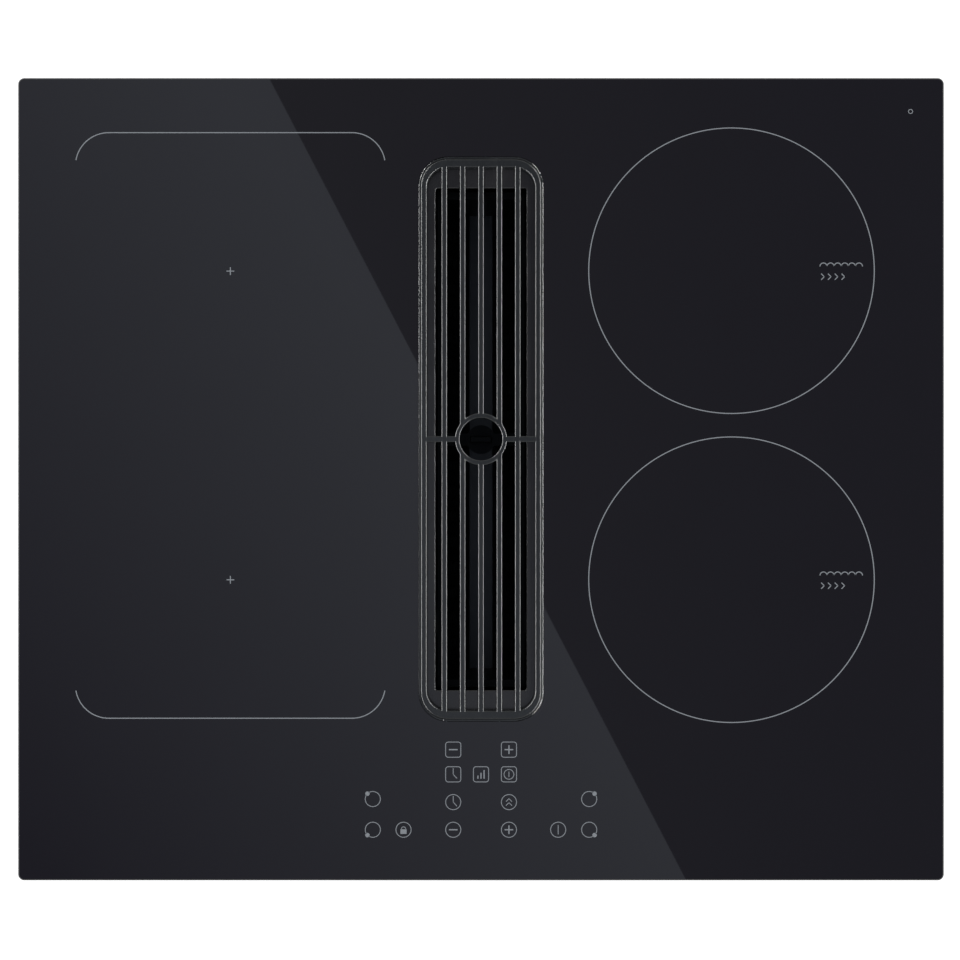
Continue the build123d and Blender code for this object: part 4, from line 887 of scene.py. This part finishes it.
def boost_sign(bm, at):
    """Two chevrons that point up."""
    leg, leg_out, row_up = 2.8, 0.95, 1.3
    for step in (-1, 1):
        for half in (-1, 1):
            leg_at = (at[0] + half * leg_out, at[1] + step * row_up)
            bar(bm, leg_at, leg, key_line, -half * 45)


def lock_sign(bm, at):
    """A padlock: a filled body under a half ring."""
    body_width, body_height, shackle_radius = 4.0, 3.0, 1.4
    bar(bm, (at[0], at[1] - 1.2), body_width, body_height)
    arc(bm, (at[0], at[1] + 0.5), shackle_radius, key_line, 0, 180)


def stroke_sign(bm, at):
    stroke = 6.0
    bar(bm, at, key_line, stroke)


print("a key is", 2 * key_radius, "mm wide")

# %% Touch keys in their places
left, middle, right = -18.0, 0.0, 18.1
lock_x = -50.2
stroke_x = 50.0
key_rows = {"fan": -175.2, "fan_mode": -191.2, "boost": -209.2, "level": -227.1}
keys = [
    (square_key, minus_sign, left, "fan"),
    (square_key, plus_sign, right, "fan"),
    (square_key, clock_sign, left, "fan_mode"),
    (square_key, fan_speed_sign, middle, "fan_mode"),
    (square_key, power_sign, right, "fan_mode"),
    (round_key, clock_sign, left, "boost"),
    (round_key, boost_sign, right, "boost"),
    (round_key, minus_sign, left, "level"),
    (round_key, plus_sign, right, "level"),
    (round_key, lock_sign, lock_x, "level"),
    (round_key, stroke_sign, stroke_x, "level"),
]
bm = bmesh.new()
for outline, sign, key_x, row in keys:
    outline(bm, (key_x, key_rows[row]))
    sign(bm, (key_x, key_rows[row]))
to_print(bm, "touch_keys")

# %% [markdown]
# Four open rings with a dot pick a zone. The dot stands in the ring's gap, at the zone's own
# corner. One more small ring is printed at the plate's far right corner.

# %% Zone selectors and the small ring at the corner
selector_x = 70.1
selector_rows = {1: -207.2, -1: -227.1}
selector_gap = 26.0
selector_dot = 1.45
corner_ring_at = (278.3, 238.3)
corner_ring_radius = 1.4

bm = bmesh.new()
for side in (-1, 1):
    for row, selector_y in selector_rows.items():
        at = (side * selector_x, selector_y)
        towards = row * (90 - side * 45)
        arc(bm, at, key_radius, key_line, towards + selector_gap / 2, 360 - selector_gap)
        heading = (cos(radians(towards)), sin(radians(towards)))
        dot(bm, (at[0] + key_radius * heading[0], at[1] + key_radius * heading[1]),
            selector_dot)
arc(bm, corner_ring_at, corner_ring_radius, key_line)
to_print(bm, "zone_selectors")

# %% [markdown]
# ## The studio
# The cooktop stands on a white floor in white surroundings. Both show white to the camera
# and in reflections, while the light that they give the object stays plain and level. For
# that, their strength asks what kind of ray has met them.


# %% White surroundings
def seen_by(tree, *rays):
    """1 for a ray of one of these kinds, and otherwise 0."""
    path = add_node(tree, "ShaderNodeLightPath")
    seen = path.outputs[rays[0]]
    for ray in rays[1:]:
        seen = add_node(tree, "ShaderNodeMath", {"operation": "MAXIMUM"}, {
            0: seen, 1: path.outputs[ray]}).outputs[0]
    return seen


ambient_level = 0.45
world = bpy.data.worlds.new("studio")
bpy.context.scene.world = world
world.use_nodes = True
tree = world.node_tree
tree.nodes.clear()
seen = seen_by(tree, "Is Camera Ray", "Is Glossy Ray", "Is Transmission Ray")
background = add_node(tree, "ShaderNodeBackground", inputs={
    "Color": (1, 1, 1, 1), "Strength": spread(tree, seen, ambient_level, 1.0)})
add_node(tree, "ShaderNodeOutputWorld", inputs={"Surface": background.outputs["Background"]})
print("surroundings light at", ambient_level)

# %% White floor
floor_glow = 0.82
floor_half = 12.0
floor_gap = 0.2 * MM


def stage_plane(name, half_size, height, material):
    """A square, level stage plane."""
    bm = bmesh.new()
    bmesh.ops.create_grid(bm, x_segments=1, y_segments=1, size=half_size)
    bmesh.ops.translate(bm, verts=bm.verts, vec=(0, 0, height))
    plane = add_object(bm, name, material)
    plane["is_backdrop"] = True
    return plane


floor_material, tree = bare_material("floor_white")
paint = add_node(tree, "ShaderNodeBsdfDiffuse", inputs={"Color": linear("#b0b0b0")})
seen = seen_by(tree, "Is Camera Ray", "Is Glossy Ray")
glow = add_node(tree, "ShaderNodeEmission", inputs={
    "Color": (1, 1, 1, 1), "Strength": spread(tree, seen, 0.0, floor_glow)})
both = add_node(tree, "ShaderNodeAddShader", inputs={0: paint.outputs[0], 1: glow.outputs[0]})
add_node(tree, "ShaderNodeOutputMaterial", inputs={"Surface": both.outputs[0]})
stage_plane("floor", floor_half, cad_box[0][2] - floor_gap, floor_material)
print("floor at", round((cad_box[0][2] - floor_gap) / MM, 1), "mm")

# %% [markdown]
# ### What the glass mirrors
# Above the camera hangs a dark ceiling, and just below it a pale card whose straight edge
# runs slantwise across. Only reflections show them: they give the glass its deep tone and
# its slanting reflection. The card's edge is placed by two points on the glass, moved out to
# where the camera sees them mirrored.


# %% Dark ceiling
def glow_material(name, near, far, across, start, end):
    """A glow that goes from the near to the far colour along a direction."""
    material, tree = bare_material(name)
    place = add_node(tree, "ShaderNodeTexCoord").outputs["Object"]
    run = add_node(tree, "ShaderNodeVectorMath", {"operation": "DOT_PRODUCT"}, {
        0: place, 1: across}).outputs["Value"]
    share = add_node(tree, "ShaderNodeMapRange", inputs={
        "Value": run, "From Min": start, "From Max": end}).outputs["Result"]
    glow = add_node(tree, "ShaderNodeEmission", inputs={"Color": mixed(tree, share, near, far)})
    add_node(tree, "ShaderNodeOutputMaterial", inputs={"Surface": glow.outputs[0]})
    return material


def only_reflected(plane):
    """Hides a stage plane from everything but reflections."""
    plane.visible_camera = False
    plane.visible_diffuse = False
    plane.visible_shadow = False
    plane.visible_transmission = False


ceiling_height = 2.65
ceiling_half = 1.5
ceiling_near = (0.25, 0.245, 0.29, 1)
ceiling_far = (0.195, 0.188, 0.245, 1)
ceiling_fade = (-0.4, 0.6)
ceiling_material = glow_material("ceiling", ceiling_near, ceiling_far, (1, 0, 0), *ceiling_fade)
ceiling = stage_plane("dark_ceiling", ceiling_half, ceiling_height, ceiling_material)
only_reflected(ceiling)
print("ceiling at", ceiling_height, "m")

# %% Pale card
card_height = 2.6
card_near = (0.59, 0.62, 0.72, 1)
card_far = (0.20, 0.19, 0.26, 1)
card_fade_way = (-0.83, -0.55, 0)
card_fade = (0.0, 0.94)
line_low = Vector((133.5, -259.9)) * MM
line_high = Vector((-136.7, 259.8)) * MM
mirror_reach = 1 + (card_height - face_z) / camera_height
edge_middle = (line_low + line_high) / 2 * mirror_reach
along = (line_high - line_low).normalized()
leftward = Vector((-along.y, along.x))
card_turn = Matrix.Rotation(-Vector((0, 1)).angle_signed(leftward), 3, "Z")

bm = bmesh.new()
bmesh.ops.create_grid(bm, x_segments=1, y_segments=1, size=ceiling_half)
bmesh.ops.translate(bm, verts=bm.verts, vec=(0, ceiling_half, 0))
bmesh.ops.rotate(bm, verts=bm.verts, matrix=card_turn)
bmesh.ops.translate(bm, verts=bm.verts, vec=(edge_middle.x, edge_middle.y, card_height))
card_material = glow_material("card", card_near, card_far, card_fade_way, *card_fade)
card = add_object(bm, "pale_card", card_material)
card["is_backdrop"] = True
only_reflected(card)
print("card's edge passes", [round(value, 3) for value in edge_middle], "m")

# %% [markdown]
# ### Lamps
# Softboxes stand at the left and right. Near them hang long strips that only gloss shows,
# one pair for the grille and one for the insert, and they draw the thin bright line along
# each rounded edge. They hang so high that the grille's flat tops don't mirror them towards
# a low camera. The line on the rim's left side fades towards the front, so the strip that
# makes it stands only behind the middle.


# %% Softboxes and strips at both sides
def softbox(name, at, width, length, watts):
    """An area lamp that faces straight across the cooktop, with its length along Y."""
    lamp = bpy.data.lights.new(name, "AREA")
    lamp.shape = "RECTANGLE"
    lamp.size = length
    lamp.size_y = width
    lamp.energy = watts
    holder = bpy.data.objects.new(name, lamp)
    holder.location = at
    towards = Vector((-at[0], 0, -at[2]))
    holder.rotation_euler = towards.to_track_quat("-Z", "Y").to_euler()
    bpy.context.scene.collection.objects.link(holder)
    return holder


def light_only(lamp, node, unshaded=False):
    """Keeps a strip's light to one piece; if unshaded, no other piece casts a shadow there."""
    lamp.visible_diffuse = False
    lit = bpy.data.collections.new("lit_by_" + lamp.name)
    lit.objects.link(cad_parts[node])
    lamp.light_linking.receiver_collection = lit
    if unshaded:
        lamp.light_linking.blocker_collection = lit


softbox_reach = 1.5
softbox_height = 1.1
softbox_width = 0.35
softbox_length = 1.6
softbox_watts = 22.0
strip_reach = 1.2
strip_height = 1.45
strip_width = 0.3
strip_length = 3.6
grille_strip_watts = 115.0
# Each rim strip's middle along Y, its length and its watts.
rim_strips = {"left": (1.0, 1.8, 150.0), "right": (0.0, strip_length, 500.0)}

for side, name in ((-1, "left"), (1, "right")):
    softbox("softbox_" + name, (side * softbox_reach, 0, softbox_height), softbox_width,
            softbox_length, softbox_watts)
    strip = softbox("strip_" + name, (side * strip_reach, 0, strip_height), strip_width,
                    strip_length, grille_strip_watts)
    light_only(strip, "grille")
    back, length, watts = rim_strips[name]
    strip = softbox("rim_strip_" + name, (side * strip_reach, back, strip_height),
                    strip_width, length, watts)
    light_only(strip, "intake_insert", unshaded=True)
print("lamps:", [lamp.name for lamp in bpy.data.lights])

# %% [markdown]
# ## Sizes and the end
# The looks should leave the object's size as it is, so the box after them is set against the box
# before, and the growth is printed.

# %% Print how much the box has grown
visual_box = [list(corner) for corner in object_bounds()]
grown = [[round((v - c) / MM, 2) for v, c in zip(*pair)] for pair in zip(visual_box, cad_box)]
print("grown by, in mm:", grown)
